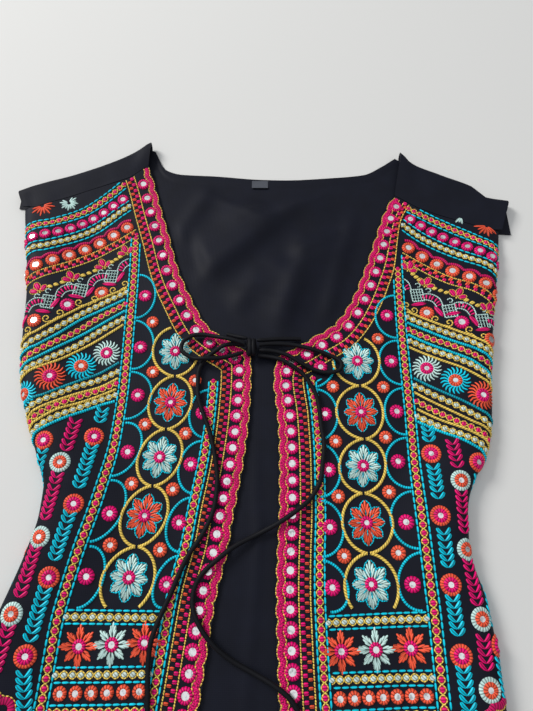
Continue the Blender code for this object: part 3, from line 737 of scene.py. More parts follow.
def front_top(side, x, y):
    """Height of the visible face of a front, creases and stitch draw included."""
    height = front_height(side, x, y) + fold_lift(FRONT_CREASES, x, y)
    return height + pucker(x, y, 11.0, 0.22)


def back_lift(x, y):
    """Height of the back's folds, which fade out where a front lies on it."""
    inside = 1.0
    if y < SEAM_TIP_Y["left"]:
        left_room = x - EDGE_X["left"](y) - FOLD_CLEARANCE
        right_room = EDGE_X["right"](y) - x - FOLD_CLEARANCE
        inside = ease(left_room / FOLD_CLEARANCE) * ease(right_room / FOLD_CLEARANCE)
        near = ease((left_room + 10.0) / 8.0) * ease((right_room + 10.0) / 8.0)
    else:
        near = 1.0
    near_neck_edge = ease((FOLD_LIMIT_Y - y) / FOLD_FADE)
    fine = fold_lift(BACK_CREASES, x, y) * near
    return fold_lift(BACK_FOLDS, x, y) * inside * near_neck_edge + fine


def roll_table(half_width, half_height, steps=36):
    """Length of cloth round the rolled side edge, against the angle from its top."""
    lengths = [0.0]
    turn = math.pi / steps
    for n in range(steps):
        middle = (n + 0.5) * turn
        reach = half_width * math.cos(middle)
        drop = half_height * math.sin(middle)
        lengths.append(lengths[-1] + math.hypot(reach, drop) * turn)
    return lengths


def roll_angle(lengths, excess):
    """Angle round the rolled edge at a length of cloth past its top."""
    steps = len(lengths) - 1
    if excess >= lengths[-1]:
        return math.pi
    n = 0
    while lengths[n + 1] < excess:
        n += 1
    share = (excess - lengths[n]) / (lengths[n + 1] - lengths[n])
    return (n + share) * math.pi / steps


ROLL_LENGTHS = roll_table(ROLL_WIDTH, SIDE_HEIGHT / 2.0)


def cloth_point(side, x, y):
    """Point on the face of a front for a flat place on its cloth, rolled at the side."""
    sign = SIGN[side]
    x_roll = SIDE_X[side](y) - sign * ROLL_WIDTH
    excess = sign * (x - x_roll)
    if excess <= 0.0:
        return Vector((x, y, front_top(side, x, y)))
    half = front_top(side, x_roll, y) / 2.0
    angle = roll_angle(ROLL_LENGTHS, excess)
    return Vector((
        x_roll + sign * ROLL_WIDTH * math.sin(angle),
        y,
        max(half + half * math.cos(angle), 0.06),
    ))


class ClothFace:
    """Lattice of points over one front, to lay stitches on quickly."""

    STEP = 1.6

    def __init__(self, side):
        low, high = (-236.0, -2.0) if side == "left" else (2.0, 236.0)
        self.x0 = low
        self.y0 = HEM_Y - 4.0
        self.columns = int((high - low) / self.STEP) + 1
        self.rows = int((SEAM_TIP_Y[side] + 6.0 - self.y0) / self.STEP) + 1
        self.points = [
            [cloth_point(side, low + i * self.STEP, self.y0 + j * self.STEP)
             for i in range(self.columns + 1)]
            for j in range(self.rows + 1)
        ]

    def at(self, x, y):
        """Point on the cloth and its outward direction."""
        u = min(max((x - self.x0) / self.STEP, 0.0), self.columns - 0.001)
        v = min(max((y - self.y0) / self.STEP, 0.0), self.rows - 0.001)
        i = int(u)
        j = int(v)
        u -= i
        v -= j
        lower = self.points[j]
        upper = self.points[j + 1]
        start = lower[i].lerp(lower[i + 1], u)
        end = upper[i].lerp(upper[i + 1], u)
        along_x = (lower[i + 1] - lower[i]).lerp(upper[i + 1] - upper[i], v)
        along_y = (upper[i] - lower[i]).lerp(upper[i + 1] - lower[i + 1], u)
        normal = along_x.cross(along_y)
        if normal.length_squared < 1e-12:
            normal = Vector((0.0, 0.0, 1.0))
        return start.lerp(end, v), normal.normalized()


# Paths on the cloth


def travelled_lengths(points):
    """Length along a path at each of its points."""
    lengths = [0.0]
    for before, after in zip(points, points[1:]):
        lengths.append(lengths[-1] + (after - before).length)
    return lengths


def even_path(points, step):
    """The same path with points at even steps."""
    lengths = travelled_lengths(points)
    count = max(1, round(lengths[-1] / step))
    path = []
    k = 0
    for n in range(count + 1):
        target = lengths[-1] * n / count
        while k < len(points) - 2 and lengths[k + 1] < target:
            k += 1
        share = (target - lengths[k]) / max(lengths[k + 1] - lengths[k], 1e-9)
        path.append(points[k].lerp(points[k + 1], min(max(share, 0.0), 1.0)))
    return path


def smooth_route(points, step):
    """Even points on a smooth curve through a route's own points."""
    route = [Vector(point) for point in points]
    fine = []
    for n in range(len(route) - 1):
        before = route[max(n - 1, 0)]
        start = route[n]
        end = route[n + 1]
        after = route[min(n + 2, len(route) - 1)]
        for k in range(12):
            t = k / 12.0
            fine.append(0.5 * (
                2.0 * start
                + (end - before) * t
                + (2.0 * before - 5.0 * start + 4.0 * end - after) * t ** 2
                + (3.0 * start - before - 3.0 * end + after) * t ** 3
            ))
    fine.append(route[-1])
    return even_path(fine, step)


def run_at(path, n):
    """Direction of a path at one of its points."""
    run = path[min(n + 1, len(path) - 1)] - path[max(n - 1, 0)]
    run.normalize()
    return run


def shifted(path, distance):
    """Path moved square to itself, to its right as it runs."""
    moved = []
    for n, point in enumerate(path):
        run = run_at(path, n)
        moved.append(point + Vector((run.y, -run.x)) * distance)
    return moved


EDGE_LINES = {
    side: [Vector((EDGE_X[side](y / 2.0), y / 2.0))
           for y in range(int(2.0 * (SEAM_TIP_Y[side] - 1.0)), int(2.0 * HEM_Y), -1)]
    for side in SIDES
}


def edge_distance(side, point, stride=6):
    """Distance from a flat place to the neckline and front edge."""
    return math.sqrt(min((point - other).length_squared for other in EDGE_LINES[side][::stride]))


def lane_squeeze(side, y):
    """Share of the trim's width left where the edge turns under towards the neck tip."""
    return 1.0 - NECK_SQUEEZE[side] * ease((y - 120.0) / 60.0)


def lane_path(side, distance, step=1.5):
    """Line at one distance inside the neckline and front edge, from the neck to the hem."""
    edge = EDGE_LINES[side][::2]
    kept = []
    inside = [-SIGN[side] * distance * lane_squeeze(side, point.y) for point in edge]
    for n, point in enumerate(edge):
        run = run_at(edge, n)
        moved = point + Vector((run.y, -run.x)) * inside[n]
        near = edge[max(n - 60, 0):n + 60]
        limit = (abs(inside[n]) - 0.05 - 0.6 * (NECK_SQUEEZE[side] > 0.0)) ** 2
        if min((moved - other).length_squared for other in near) >= limit:
            kept.append(moved)
    return even_path(kept, step)


def clipped(side, path):
    """Longest run of a path that stays below the shoulder seam."""
    runs = [[]]
    for point in path:
        if point.y < seam_y(side, point.x) - 1.6:
            runs[-1].append(point)
        elif runs[-1]:
            runs.append([])
    return max(runs, key=len)


def band_path(side, row, shift):
    """Line of one slanting shoulder band, from its inner end to under the side edge."""
    sign = SIGN[side]
    corners = [Vector(band_place(*pixel)) for pixel in getattr(row, side)]
    inner = corners[0] + (corners[0] - corners[1]).normalized() * 22.0
    bend = (corners[-1] - corners[-2]).normalized() + Vector((0.0, -0.25))
    outer = corners[-1] + bend.normalized() * 40.0
    route = smooth_route([(p.x, p.y, 0.0) for p in [inner] + corners + [outer]], 1.5)
    kept = []
    for point in shifted([Vector((p.x, p.y)) for p in route], sign * shift):
        inside = sign * point.x < sign * SIDE_X[side](point.y) + 9.0
        beside = sign * (point.x - BORDER_X[side](point.y)) > (4.6 if point.y < 150.0 else -8.0)
        if inside and beside and edge_distance(side, point) > 25.6 * lane_squeeze(side, point.y):
            kept.append(point)
    return clipped(side, even_path(kept, 1.5))


# Stitches


class Embroidery:
    """Threads and mirrors on one front, gathered into one object."""

    RING = tuple(math.pi * k / 5.0 for k in range(6))
    PAD_TOP = 0.55
    RING_PARTS = 32
    RING_LIFT = 0.1
    RING_PROFILE = ((0.0, 0.0), (0.06, 0.7), (0.42, 1.0), (0.8, 0.72), (1.0, 0.0))
    MIRROR_PARTS = 14
    MIRROR_LIFT = 0.85
    MIRROR_DEPTH = 0.35

    def __init__(self, face):
        self.face = face
        self.points = []
        self.faces = []
        self.uvs = []
        self.threads = []

    def add_face(self, corners, uvs, thread):
        """Keep one face with its thread and where it lies along the stitch."""
        self.faces.append(corners)
        self.uvs.append(uvs)
        self.threads.append(thread)

    def tube(self, path, widths, height, thread, closed=False, lift=0.12, lengthwise=False):
        """Half-round run of thread along a flat path; a list gives a width at each point."""
        count = len(path)
        if not isinstance(widths, (list, tuple)):
            widths = [widths] * count
        widest = max(widths)
        frames = [self.face.at(p.x, p.y) for p in path]
        first = len(self.points)
        along = [0.0]
        for n, (place, normal) in enumerate(frames):
            before = frames[n - 1 if closed else max(n - 1, 0)][0]
            after = frames[(n + 1) % count if closed else min(n + 1, count - 1)][0]
            across = normal.cross(after - before)
            if across.length_squared < 1e-12:
                across = Vector((1.0, 0.0, 0.0))
            across.normalize()
            along.append(along[-1] + (frames[(n + 1) % count][0] - place).length)
            for angle in self.RING:
                self.points.append(
                    place
                    + across * (0.5 * widths[n] * math.cos(angle))
                    + normal * (lift + height * widths[n] / widest * math.sin(angle))
                )
        size = len(self.RING)
        girth = 1.5 * widest
        for n in range(count if closed else count - 1):
            a = first + n * size
            b = first + (n + 1) % count * size
            for k in range(size):
                m = (k + 1) % size
                low = girth * k / size
                high = girth * (k + 1) / size
                runs = ((along[n], low), (along[n + 1], low), (along[n + 1], high), (along[n], high))
                if lengthwise:
                    runs = tuple((v, u) for u, v in runs)
                self.add_face((a + k, b + k, b + m, a + m), runs, thread)
        if not closed:
            last = first + (count - 1) * size
            self.add_face(tuple(first + k for k in reversed(range(size))), ((0.0, 0.0),) * size, thread)
            self.add_face(tuple(last + k for k in range(size)), ((0.0, 0.0),) * size, thread)

    def stitch(self, start, end, width, height, thread, lift=0.12):
        """One straight stitch with soft tapered ends."""
        self.strand(start, end, height, thread, lift, 0.0,
                    ((0.0, 0.4 * width), (0.2, 0.95 * width), (0.7, width), (1.0, 0.4 * width)))

    def leaf(self, start, end, width, height, thread, curve):
        """One leaf of thread, narrow at its root and round at its tip."""
        self.strand(start, end, height, thread, 0.12, curve,
                    ((0.0, 0.3 * width), (0.3, 0.8 * width), (0.66, width), (0.9, 0.8 * width),
                     (1.0, 0.35 * width)))

    def strand(self, start, end, height, thread, lift, curve, widths):
        """Run of thread from start to end, bowed by a share of its length."""
        run = end - start
        side = Vector((-run.y, run.x)) * curve
        path = [start + run * share + side * (4.0 * share * (1.0 - share)) for share, _ in widths]
        self.tube(path, [width for _, width in widths], height, thread, lift=lift, lengthwise=True)

    def dashes(self, path, length, gap, width, height, thread, lift=0.12):
        """Row of running stitches along a path."""
        lengths = travelled_lengths(path)
        count = max(1, int(lengths[-1] / (length + gap)))
        even = even_path(path, lengths[-1] / (count * 4))
        per = (len(even) - 1) / count
        for n in range(count):
            start = even[int(n * per)]
            end = even[min(int(n * per + per * length / (length + gap)), len(even) - 1)]
            if (end - start).length < 0.3 * length:
                continue
            self.stitch(start, start + (end - start).normalized() * length, width, height, thread, lift)

    def cord(self, path, width, height, thread):
        """Unbroken satin cord along a path."""
        self.tube(even_path(path, 1.4), width, height, thread)

    def pad(self, outline, height, thread, way, lift=0.1):
        """Low padded patch of satin stitch: its threads lie along `way`."""
        count = len(outline)
        middle = sum(outline, Vector((0.0, 0.0))) / count
        way = way.normalized()
        side = Vector((-way.y, way.x))
        first = len(self.points)
        flat = []
        for share, rise in ((1.0, 0.0), (0.9, 0.7), (self.PAD_TOP, 1.0)):
            for point in outline:
                place = middle.lerp(point, share)
                surface, normal = self.face.at(place.x, place.y)
                self.points.append(surface + normal * (lift + height * rise))
                offset = place - middle
                flat.append((offset.dot(side), offset.dot(way)))
        for layer in range(2):
            for n in range(count):
                m = (n + 1) % count
                corners = (
                    layer * count + n, layer * count + m,
                    (layer + 1) * count + m, (layer + 1) * count + n,
                )
                self.add_face(
                    tuple(first + c for c in corners), tuple(flat[c] for c in corners), thread
                )
        top = tuple(range(2 * count, 3 * count))
        self.add_face(tuple(first + c for c in top), tuple(flat[c] for c in top), thread)
        low = tuple(reversed(range(count)))
        self.add_face(tuple(first + c for c in low), tuple(flat[c] for c in low), thread)

    def ring(self, centre, inner, outer, height, thread):
        """Padded ring whose threads run outwards from its middle, a little uneven."""
        first = len(self.points)
        for n in range(self.RING_PARTS):
            angle = 2.0 * math.pi * n / self.RING_PARTS
            ray = Vector((math.cos(angle), math.sin(angle)))
            edge = centre + ray * outer
            rough = 0.22 * noise.noise(Vector((edge.x * 0.9, edge.y * 0.9, 2.0)))
            for reach, rise in self.RING_PROFILE:
                place = centre + ray * lerp(inner, outer + rough, reach)
                surface, normal = self.face.at(place.x, place.y)
                self.points.append(surface + normal * (self.RING_LIFT + height * rise))
        size = len(self.RING_PROFILE)
        turn = 2.0 * math.pi * 0.5 * (inner + outer) / self.RING_PARTS
        for n in range(self.RING_PARTS):
            m = (n + 1) % self.RING_PARTS
            for k in range(size):
                j = (k + 1) % size
                self.add_face(
                    (first + n * size + k, first + n * size + j,
                     first + m * size + j, first + m * size + k),
                    ((n * turn, k), (n * turn, k + 1), ((n + 1) * turn, k + 1), ((n + 1) * turn, k)),
                    thread,
                )

    def mirror(self, centre, radius):
        """Small round mirror held under the ring's inner edge."""
        segments = self.MIRROR_PARTS
        surface, normal = self.face.at(centre.x, centre.y)
        wobble = Vector((
            noise.noise(Vector((centre.x, centre.y, 3.1))),
            noise.noise(Vector((centre.x, centre.y, 8.7))), 0.0,
        ))
        normal = (normal + wobble * 0.16).normalized()
        across = normal.cross(Vector((0.0, 1.0, 0.0))).normalized()
        up = across.cross(normal)
        first = len(self.points)
        angles = [2.0 * math.pi * n / segments for n in range(segments)]
        flat = tuple((math.cos(angle), math.sin(angle)) for angle in angles)
        for depth in (0.0, -self.MIRROR_DEPTH):
            for x, y in flat:
                self.points.append(
                    surface + normal * (self.MIRROR_LIFT + depth) + (across * x + up * y) * radius
                )
        top = tuple(first + n for n in range(segments))
        low = tuple(first + segments + n for n in reversed(range(segments)))
        self.add_face(top, flat, MIRROR)
        self.add_face(low, flat, MIRROR)
        for n in range(segments):
            m = (n + 1) % segments
            self.add_face(
                (first + m, first + n, first + segments + n, first + segments + m),
                ((0.0, 0.0),) * 4, MIRROR,
            )

    def rosette(self, x, y, radius, thread, outer_thread=None, outer_radius=0.0, mirror_share=0.5):
        """Mirror held by a padded ring of satin stitch, with a second ring round some."""
        centre = Vector((x, y))
        if outer_thread:
            self.ring(centre, radius - 0.6, outer_radius, 0.8, outer_thread)
        self.ring(centre, (mirror_share - 0.07) * radius, radius, 1.45, thread)
        self.mirror(centre, mirror_share * radius)

    def object(self, name, materials):
        """Blender object of what has been gathered."""
        mesh = bpy.data.meshes.new(name)
        # Where a side rolls under, its threads are pressed flat by the surface it lies on
        pressed = [Vector((p.x, p.y, max(p.z, THREAD_FLOOR))) * MM for p in self.points]
        mesh.from_pydata(pressed, [], self.faces)
        used = sorted(set(self.threads))
        for thread in used:
            mesh.materials.append(materials[thread])
        slots = {thread: n for n, thread in enumerate(used)}
        mesh.polygons.foreach_set("material_index", [slots[t] for t in self.threads])
        layer = mesh.uv_layers.new(name="thread_run")
        flat = [value for uvs in self.uvs for uv in uvs for value in uv]
        layer.data.foreach_set("uv", flat)
        mesh.shade_smooth()
        mesh.set_sharp_from_angle(angle=math.radians(60.0))
        mesh.validate()
        obj = bpy.data.objects.new(name, mesh)
        bpy.context.scene.collection.objects.link(obj)
        return obj


# Embroidery figures


CHAIN_PITCH = 5.5
CHAIN_HALF = 2.2


def chain(work, path, pad_thread):
    """Two gold threads that cross over and over, with a pad in each link."""
    lengths = travelled_lengths(path)
    cells = max(1, round(lengths[-1] / CHAIN_PITCH))
    even = even_path(path, lengths[-1] / (cells * 8))
    for way in (1.0, -1.0):
        line = []
        for n, point in enumerate(even):
            run = run_at(even, n)
            swing = math.cos(math.pi * n / 8.0)
            offset = way * CHAIN_HALF * math.copysign(abs(swing) ** 0.85, swing)
            line.append(point + Vector((run.y, -run.x)) * offset)
        work.tube(line, 0.85, 0.45, "gold")
    for cell in range(cells + 1):
        n = min(cell * 8, len(even) - 1)
        run = run_at(even, n)
        side = Vector((run.y, -run.x))
        if pad_thread == "silver":
            outline = [
                even[n] + (run * (1.9 * math.cos(a)) + side * (1.6 * math.sin(a)))
                for a in (math.pi * k / 4.0 for k in range(8))
            ]
            work.pad(outline, 0.95, pad_thread, run + side, lift=0.15)
        else:
            outline = [
                even[n] + run * a + side * b
                for a, b in ((2.2, 0.0), (1.15, 1.15), (0.0, 2.2), (-1.15, 1.15),
                             (-2.2, 0.0), (-1.15, -1.15), (0.0, -2.2), (1.15, -1.15))
            ]
            work.pad(outline, 0.8, pad_thread, side, lift=0.15)


def bricks(work, path, thread, shift, pitch, size, slant=0.0):
    """Row of satin blocks like rungs, moved on by a share of their pitch."""
    lengths = travelled_lengths(path)
    count = max(1, round(lengths[-1] / pitch))
    even = even_path(path, lengths[-1] / (count * 8))
    half_run = 0.5 * size[0]
    half_side = 0.5 * size[1]
    for n in range(count):
        k = min(n * 8 + int(8 * shift) + 1, len(even) - 2)
        run = (even[k + 1] - even[k - 1]).normalized()
        side = Vector((run.y, -run.x)) + run * slant
        outline = [
            even[k] + run * (half_run * a) + side * (half_side * b)
            for a, b in ((1.0, 0.6), (0.6, 1.0), (-0.6, 1.0), (-1.0, 0.6),
                         (-1.0, -0.6), (-0.6, -1.0), (0.6, -1.0), (1.0, -0.6))
        ]
        work.pad(outline, 0.75, thread, side)


def waved(path, pitch, amount, bias=0.0):
    """Path pushed to its left in one scallop a pitch."""
    lengths = travelled_lengths(path)
    count = max(1, round(lengths[-1] / pitch))
    moved = []
    for n, point in enumerate(path):
        run = run_at(path, n)
        share = count * lengths[n] / lengths[-1]
        offset = amount * abs(math.sin(math.pi * share)) ** 0.8 + bias
        moved.append(point + Vector((-run.y, run.x)) * offset)
    return moved


def leaf_vine(work, row):
    """Vine of leaf pairs between ringed mirror rosettes."""
    path = [Vector((p.x, p.y)) for p in smooth_route([(x, y, 0.0) for x, y in row.points], 0.8)]
    spots = [Vector(spot) for spot in row.spots]
    step = 4.1
    lengths = travelled_lengths(path)
    count = int(lengths[-1] / step)
    for n in range(count):
        k = min(int((n + 0.5) * step / lengths[-1] * (len(path) - 1)), len(path) - 2)
        root = path[k + 1]
        if min((root - spot).length for spot in spots) < 8.2:
            continue
        up = (path[k] - path[k + 1]).normalized()
        side = Vector((up.y, -up.x))
        for way in (1.0, -1.0):
            start = root - up * 0.6 + side * (way * 0.1)
            tip = root + up * 3.9 + side * (way * 4.3)
            work.leaf(start, tip, 2.6, 0.85, row.leaf, -0.1 * way)
    for spot in spots:
        outer = 6.9 if row.ring == "orange" else 7.3
        work.rosette(spot.x, spot.y, 5.1, row.core, row.ring, outer, mirror_share=0.4)


def sunburst(work, row):
    """Mirror rosette with a swirl of fine curved petals."""
    petal, core, x, y, radius = row
    centre = Vector((x, y))
    count = 20
    for n in range(count):
        angle = 2.0 * math.pi * n / count
        start = centre + Vector((math.cos(angle), math.sin(angle))) * 0.44 * radius
        bent = angle - 0.5
        end = centre + Vector((math.cos(bent), math.sin(bent))) * (1.04 * radius)
        work.leaf(start, end, 1.7, 0.7, petal, -0.34)
    work.rosette(x, y, 0.5 * radius, core, mirror_share=0.4)


def star_flower(work, x, y, fill, fringe, reach, tilt):
    """Eight feathered petals round a mirror rosette, longer along the oval than across it."""
    centre = Vector((x, y))
    axis = Vector((math.sin(tilt), math.cos(tilt)))
    cross = Vector((axis.y, -axis.x))
    for n in range(8):
        angle = math.radians(45.0 * n)
        out = axis * math.cos(angle) + cross * math.sin(angle)
        side = Vector((-out.y, out.x))
        far = reach * (1.12 * abs(math.cos(angle)) ** 2 + 0.93 * abs(math.sin(angle)) ** 2)
        for way in (1.0, -1.0):
            for foot, edge, spread, width in ((0.26, 0.66, 0.2, 2.0), (0.44, 0.84, 0.14, 1.9)):
                start = centre + out * (foot * far) + side * (way * 0.035 * far)
                end = centre + out * (edge * far) + side * (way * spread * far)
                work.leaf(start, end, width, 0.85, fill, 0.0)
            rim = [
                centre + out * (a * far) + side * (way * b * far)
                for a, b in ((0.34, 0.09), (0.52, 0.2), (0.68, 0.255), (0.84, 0.2), (1.0, 0.03))
            ]
            work.tube(rim, [0.6, 0.9, 1.0, 0.9, 0.6], 0.5, fringe)
        work.leaf(centre + out * (0.58 * far), centre + out * (0.98 * far), 2.1, 0.8, fill, 0.0)
        work.stitch(centre + out * (0.3 * far), centre + out * (0.56 * far), 0.6, 0.55, fringe, lift=0.4)
    work.rosette(x, y, 0.33 * reach, "magenta", mirror_share=0.42)


def long_star(work, x, y, thread, reach):
    """Eight long pointed petals round a mirror rosette."""
    centre = Vector((x, y))
    for n in range(8):
        angle = math.radians(90.0 + 45.0 * n)
        out = Vector((math.cos(angle), math.sin(angle)))
        side = Vector((-out.y, out.x))
        far = reach * (1.06 if n % 2 == 0 else 0.94)
        work.leaf(centre + out * (0.55 * far), centre + out * far, 1.8, 0.75, thread, 0.0)
        for way in (1.0, -1.0):
            for foot, edge, spread in ((0.3, 0.66, 0.15), (0.45, 0.84, 0.11)):
                start = centre + out * (foot * far) + side * (0.04 * far * way)
                end = centre + out * (edge * far) + side * (spread * far * way)
                work.leaf(start, end, 1.9, 0.75, thread, 0.0)
    work.rosette(x, y, 0.36 * reach, "magenta")


def spiral(work, x, y, size, way, foot):
    """Gold tendril that rises from its foot and curls in on itself."""
    start = math.atan2(foot.y - y, foot.x - x)
    path = [foot]
    for n in range(26):
        share = n / 25.0
        angle = start + way * (0.35 + share * 7.4)
        reach = size * (1.0 - 0.8 * share)
        path.append(Vector((x + reach * math.cos(angle), y + reach * math.sin(angle))))
    work.tube(path, 1.0, 0.55, "gold")


def trefoil(work, root, axis, size):
    """Three magenta petals edged in gold, fanned from their root."""
    for turn, far in ((-0.95, 0.8), (0.0, 1.0), (0.9, 0.88)):
        out = Vector((
            axis.x * math.cos(turn) - axis.y * math.sin(turn),
            axis.x * math.sin(turn) + axis.y * math.cos(turn),
        ))
        across = Vector((-out.y, out.x))
        long = size * far
        middle = root + out * (0.62 * long)
        outline = [
            middle + out * (0.38 * long * math.cos(a)) + across * (0.24 * long * math.sin(a))
            for a in (math.pi * k / 5.0 for k in range(10))
        ]
        work.pad(outline, 0.85, "magenta", out)
        rim = [
            middle + out * (0.42 * long * math.cos(a)) + across * (0.28 * long * math.sin(a))
            for a in (math.pi * k / 7.0 for k in range(14))
        ]
        work.tube(rim, 0.5, 0.45, "gold", closed=True)
    work.stitch(root - axis * 0.6, root + axis * 1.8, 1.4, 0.6, "gold")


def leaf_pad(work, start, end, width, thread):
    """One broad pointed leaf of satin stitch."""
    run = end - start
    side = Vector((-run.y, run.x)).normalized()
    outline = []
    for share, reach in ((0.0, 0.0), (0.22, 0.7), (0.5, 1.0), (0.8, 0.6), (1.0, 0.0),
                         (0.8, -0.6), (0.5, -1.0), (0.22, -0.7)):
        outline.append(start + run * share + side * (0.5 * width * reach))
    work.pad(outline, 0.75, thread, run)


def lattice_square(work, centre, run, up, width, height):
    """Mint net of crossed threads in a frame."""
    for n in range(5):
        share = n / 4.0 - 0.5
        thick = 1.05 if n in (0, 4) else 0.6
        foot = centre + run * (share * width)
        work.tube([foot - up * (0.5 * height), foot + up * (0.5 * height)], thick, 0.5, "mint")
        rung = centre + up * (share * height)
        work.tube([rung - run * (0.5 * width), rung + run * (0.5 * width)], thick, 0.4, "mint")


def barred_arch(work, side, outer, inner):
    """Double mint arch from one square to the next, with magenta bars between its lines."""
    lines = []
    for corners in (outer, inner):
        route = smooth_route([(p.x, p.y, 0.0) for p in corners], 0.9)
        line = [Vector((p.x, p.y)) for p in route]
        lines.append(line)
        kept = [p for p in line if work_room(side, p)]
        if len(kept) > 3:
            work.tube(kept, 1.0, 0.5, "mint")
    for n in range(7):
        share = 0.08 + 0.84 * n / 6.0
        end = lines[0][int(share * (len(lines[0]) - 1))]
        start = lines[1][int(share * (len(lines[1]) - 1))]
        if work_room(side, start) and work_room(side, end):
            work.leaf(start.lerp(end, 0.16), start.lerp(end, 0.84), 1.9, 0.75, "magenta", 0.0)


def curl(work, centre, way, size):
    """Small mint hook beside a square."""
    path = []
    for n in range(14):
        angle = 0.3 + 4.9 * n / 13.0
        reach = size * (1.0 - 0.35 * n / 13.0)
        path.append(centre + Vector((way * reach * math.cos(angle), reach * math.sin(angle))))
    work.tube(path, 0.9, 0.5, "mint")


def motif_row(work, side):
    """Row of trefoils, net squares, arches, leaves and tendrils between two shoulder bands."""
    row = MOTIF_ROWS[side]
    inward = -SIGN[side]
    squares = [Vector(square) for square in row.squares]
    pitch = Vector((inward * 23.5, 14.8))
    axis = Vector((-0.5 * inward, 0.87))

    def beside(base, reach, rise):
        return base + Vector((inward * reach, rise))

    outermost = min(squares, key=lambda p: inward * p.x)
    for square in [outermost - pitch] + squares:
        outer = [beside(square, *step) for step in ARCH_OUTER]
        inner = [beside(square, *step) for step in ARCH_INNER]
        barred_arch(work, side, outer, inner)
    for square in squares:
        lattice_square(work, square, Vector((1.0, -0.08 * inward)), Vector((0.1 * inward, 1.0)), 9.6, 11.0)
        curl(work, beside(square, -9.4, 4.2), inward, 2.3)
        curl(work, beside(square, -1.4, 9.4), inward, 2.3)
    for x, y in row.trefoils:
        trefoil(work, Vector((x, y)), axis, 10.0)
    for before, after in zip(row.trefoils, row.trefoils[1:]):
        outer, inner = sorted((Vector(before), Vector(after)), key=lambda p: inward * p.x)
        for share in (0.29, 0.47, 0.66):
            place = outer.lerp(inner, share) + Vector((0.0, 2.2))
            outline = [
                place + Vector((2.2 * math.cos(a), 1.6 * math.sin(a)))
                for a in (math.pi * k / 4.0 for k in range(8))
            ]
            work.pad(outline, 0.95, "gold", Vector((0.3, 1.0)))
    for (x, y), thread in zip(row.rosettes, row.threads):
        centre = Vector((x, y))
        leaf_pad(work, beside(centre, -12.4, -5.0), beside(centre, -6.4, 6.0), 4.2, "magenta")
        leaf_pad(work, beside(centre, -1.2, 8.8), beside(centre, 12.4, 7.6), 3.4, "magenta")
        work.rosette(x, y, 5.7, thread)
    beyond = max((Vector(place) for place in row.rosettes), key=lambda p: inward * p.x) + pitch
    if work_room(side, beside(beyond, -6.4, 6.0)):
        leaf_pad(work, beside(beyond, -12.4, -5.0), beside(beyond, -6.4, 6.0), 4.2, "magenta")
    for n, (x, y) in enumerate(row.tendrils):
        away = 1.0 if n % 2 == row.first_tendril else -1.0
        foot = beside(Vector((x, y)), 5.2 * away + 1.2, -4.4 + 2.4 * away)
        spiral(work, x, y, 3.6, -away * inward, foot)


def work_room(side, point):
    """Whether a flat place is on the shoulder part of a front."""
    sign = SIGN[side]
    outside = sign * (point.x - BORDER_X[side](point.y)) > 4.4
    return outside and sign * point.x < sign * SIDE_X[side](point.y) + 9.0


# Embroidery by region


def stitched_line(work, style, path):
    """One line of trim in any of its styles."""
    if len(path) < 4:
        return
    if style == "teal_dash":
        work.dashes(path, 4.4, 0.5, 1.55, 0.7, "teal")
    elif style == "gold_dash":
        work.dashes(path, 2.9, 0.4, 1.15, 0.55, "gold")
    elif style == "magenta_chain":
        chain(work, path, "magenta")
    elif style == "silver_chain":
        chain(work, path, "silver")
    elif style == "magenta_bricks":
        bricks(work, path, "magenta", 0.0, 6.6, (2.9, 2.8))
    elif style == "orange_bricks":
        bricks(work, path, "orange", 0.5, 6.6, (3.0, 3.2), -0.3)
    elif style == "gold_cord":
        work.cord(path, 1.9, 0.95, "gold")
    elif style == "teal_cord":
        work.cord(path, 2.1, 0.95, "teal")
    elif style == "deep_teal_cord":
        work.cord(path, 2.0, 0.95, "deep_teal")
    else:
        raise ValueError("unknown line style " + style)


def rosette_row(work, path, pitch, radius, thread):
    """Row of touching mirror rosettes."""
    lengths = travelled_lengths(path)
    count = max(1, int(lengths[-1] / pitch))
    even = even_path(path, lengths[-1] / (count * 4))
    for n in range(count):
        place = even[min(n * 4 + 2, len(even) - 1)]
        work.rosette(place.x, place.y, radius, thread)


def edge_stops(side, lane, lengths):
    """Lengths along the rosettes' lane at which the edge's mirrors sit."""
    row = EDGE_MIRRORS[side]
    first = min(range(len(lane)), key=lambda n: abs(lane[n].y - row.start_y))
    stops = []
    travelled = lengths[first] % row.neck_pitch
    n = 0
    while travelled < lengths[-1] - 2.0:
        stops.append(travelled)
        while n < len(lane) - 1 and lengths[n] < travelled:
            n += 1
        travelled += row.neck_pitch if lane[n].y > row.neck_end_y else row.front_pitch
    return stops


def place_along(path, lengths, travelled):
    """Place on a path after a travelled length."""
    n = 0
    while n < len(path) - 2 and lengths[n + 1] < travelled:
        n += 1
    share = (travelled - lengths[n]) / max(lengths[n + 1] - lengths[n], 1e-9)
    return path[n].lerp(path[n + 1], share)


def scallop_swell(travelled, stops):
    """How far the scalloped band swells out beside its mirrors, from 0 between two to 1."""
    after = next((n for n, stop in enumerate(stops) if stop > travelled), len(stops) - 1)
    pitch = stops[max(after, 1)] - stops[max(after, 1) - 1]
    share = ((travelled - stops[after]) / pitch + 0.5) % 1.0
    return math.sin(math.pi * share ** 1.25) ** 0.7


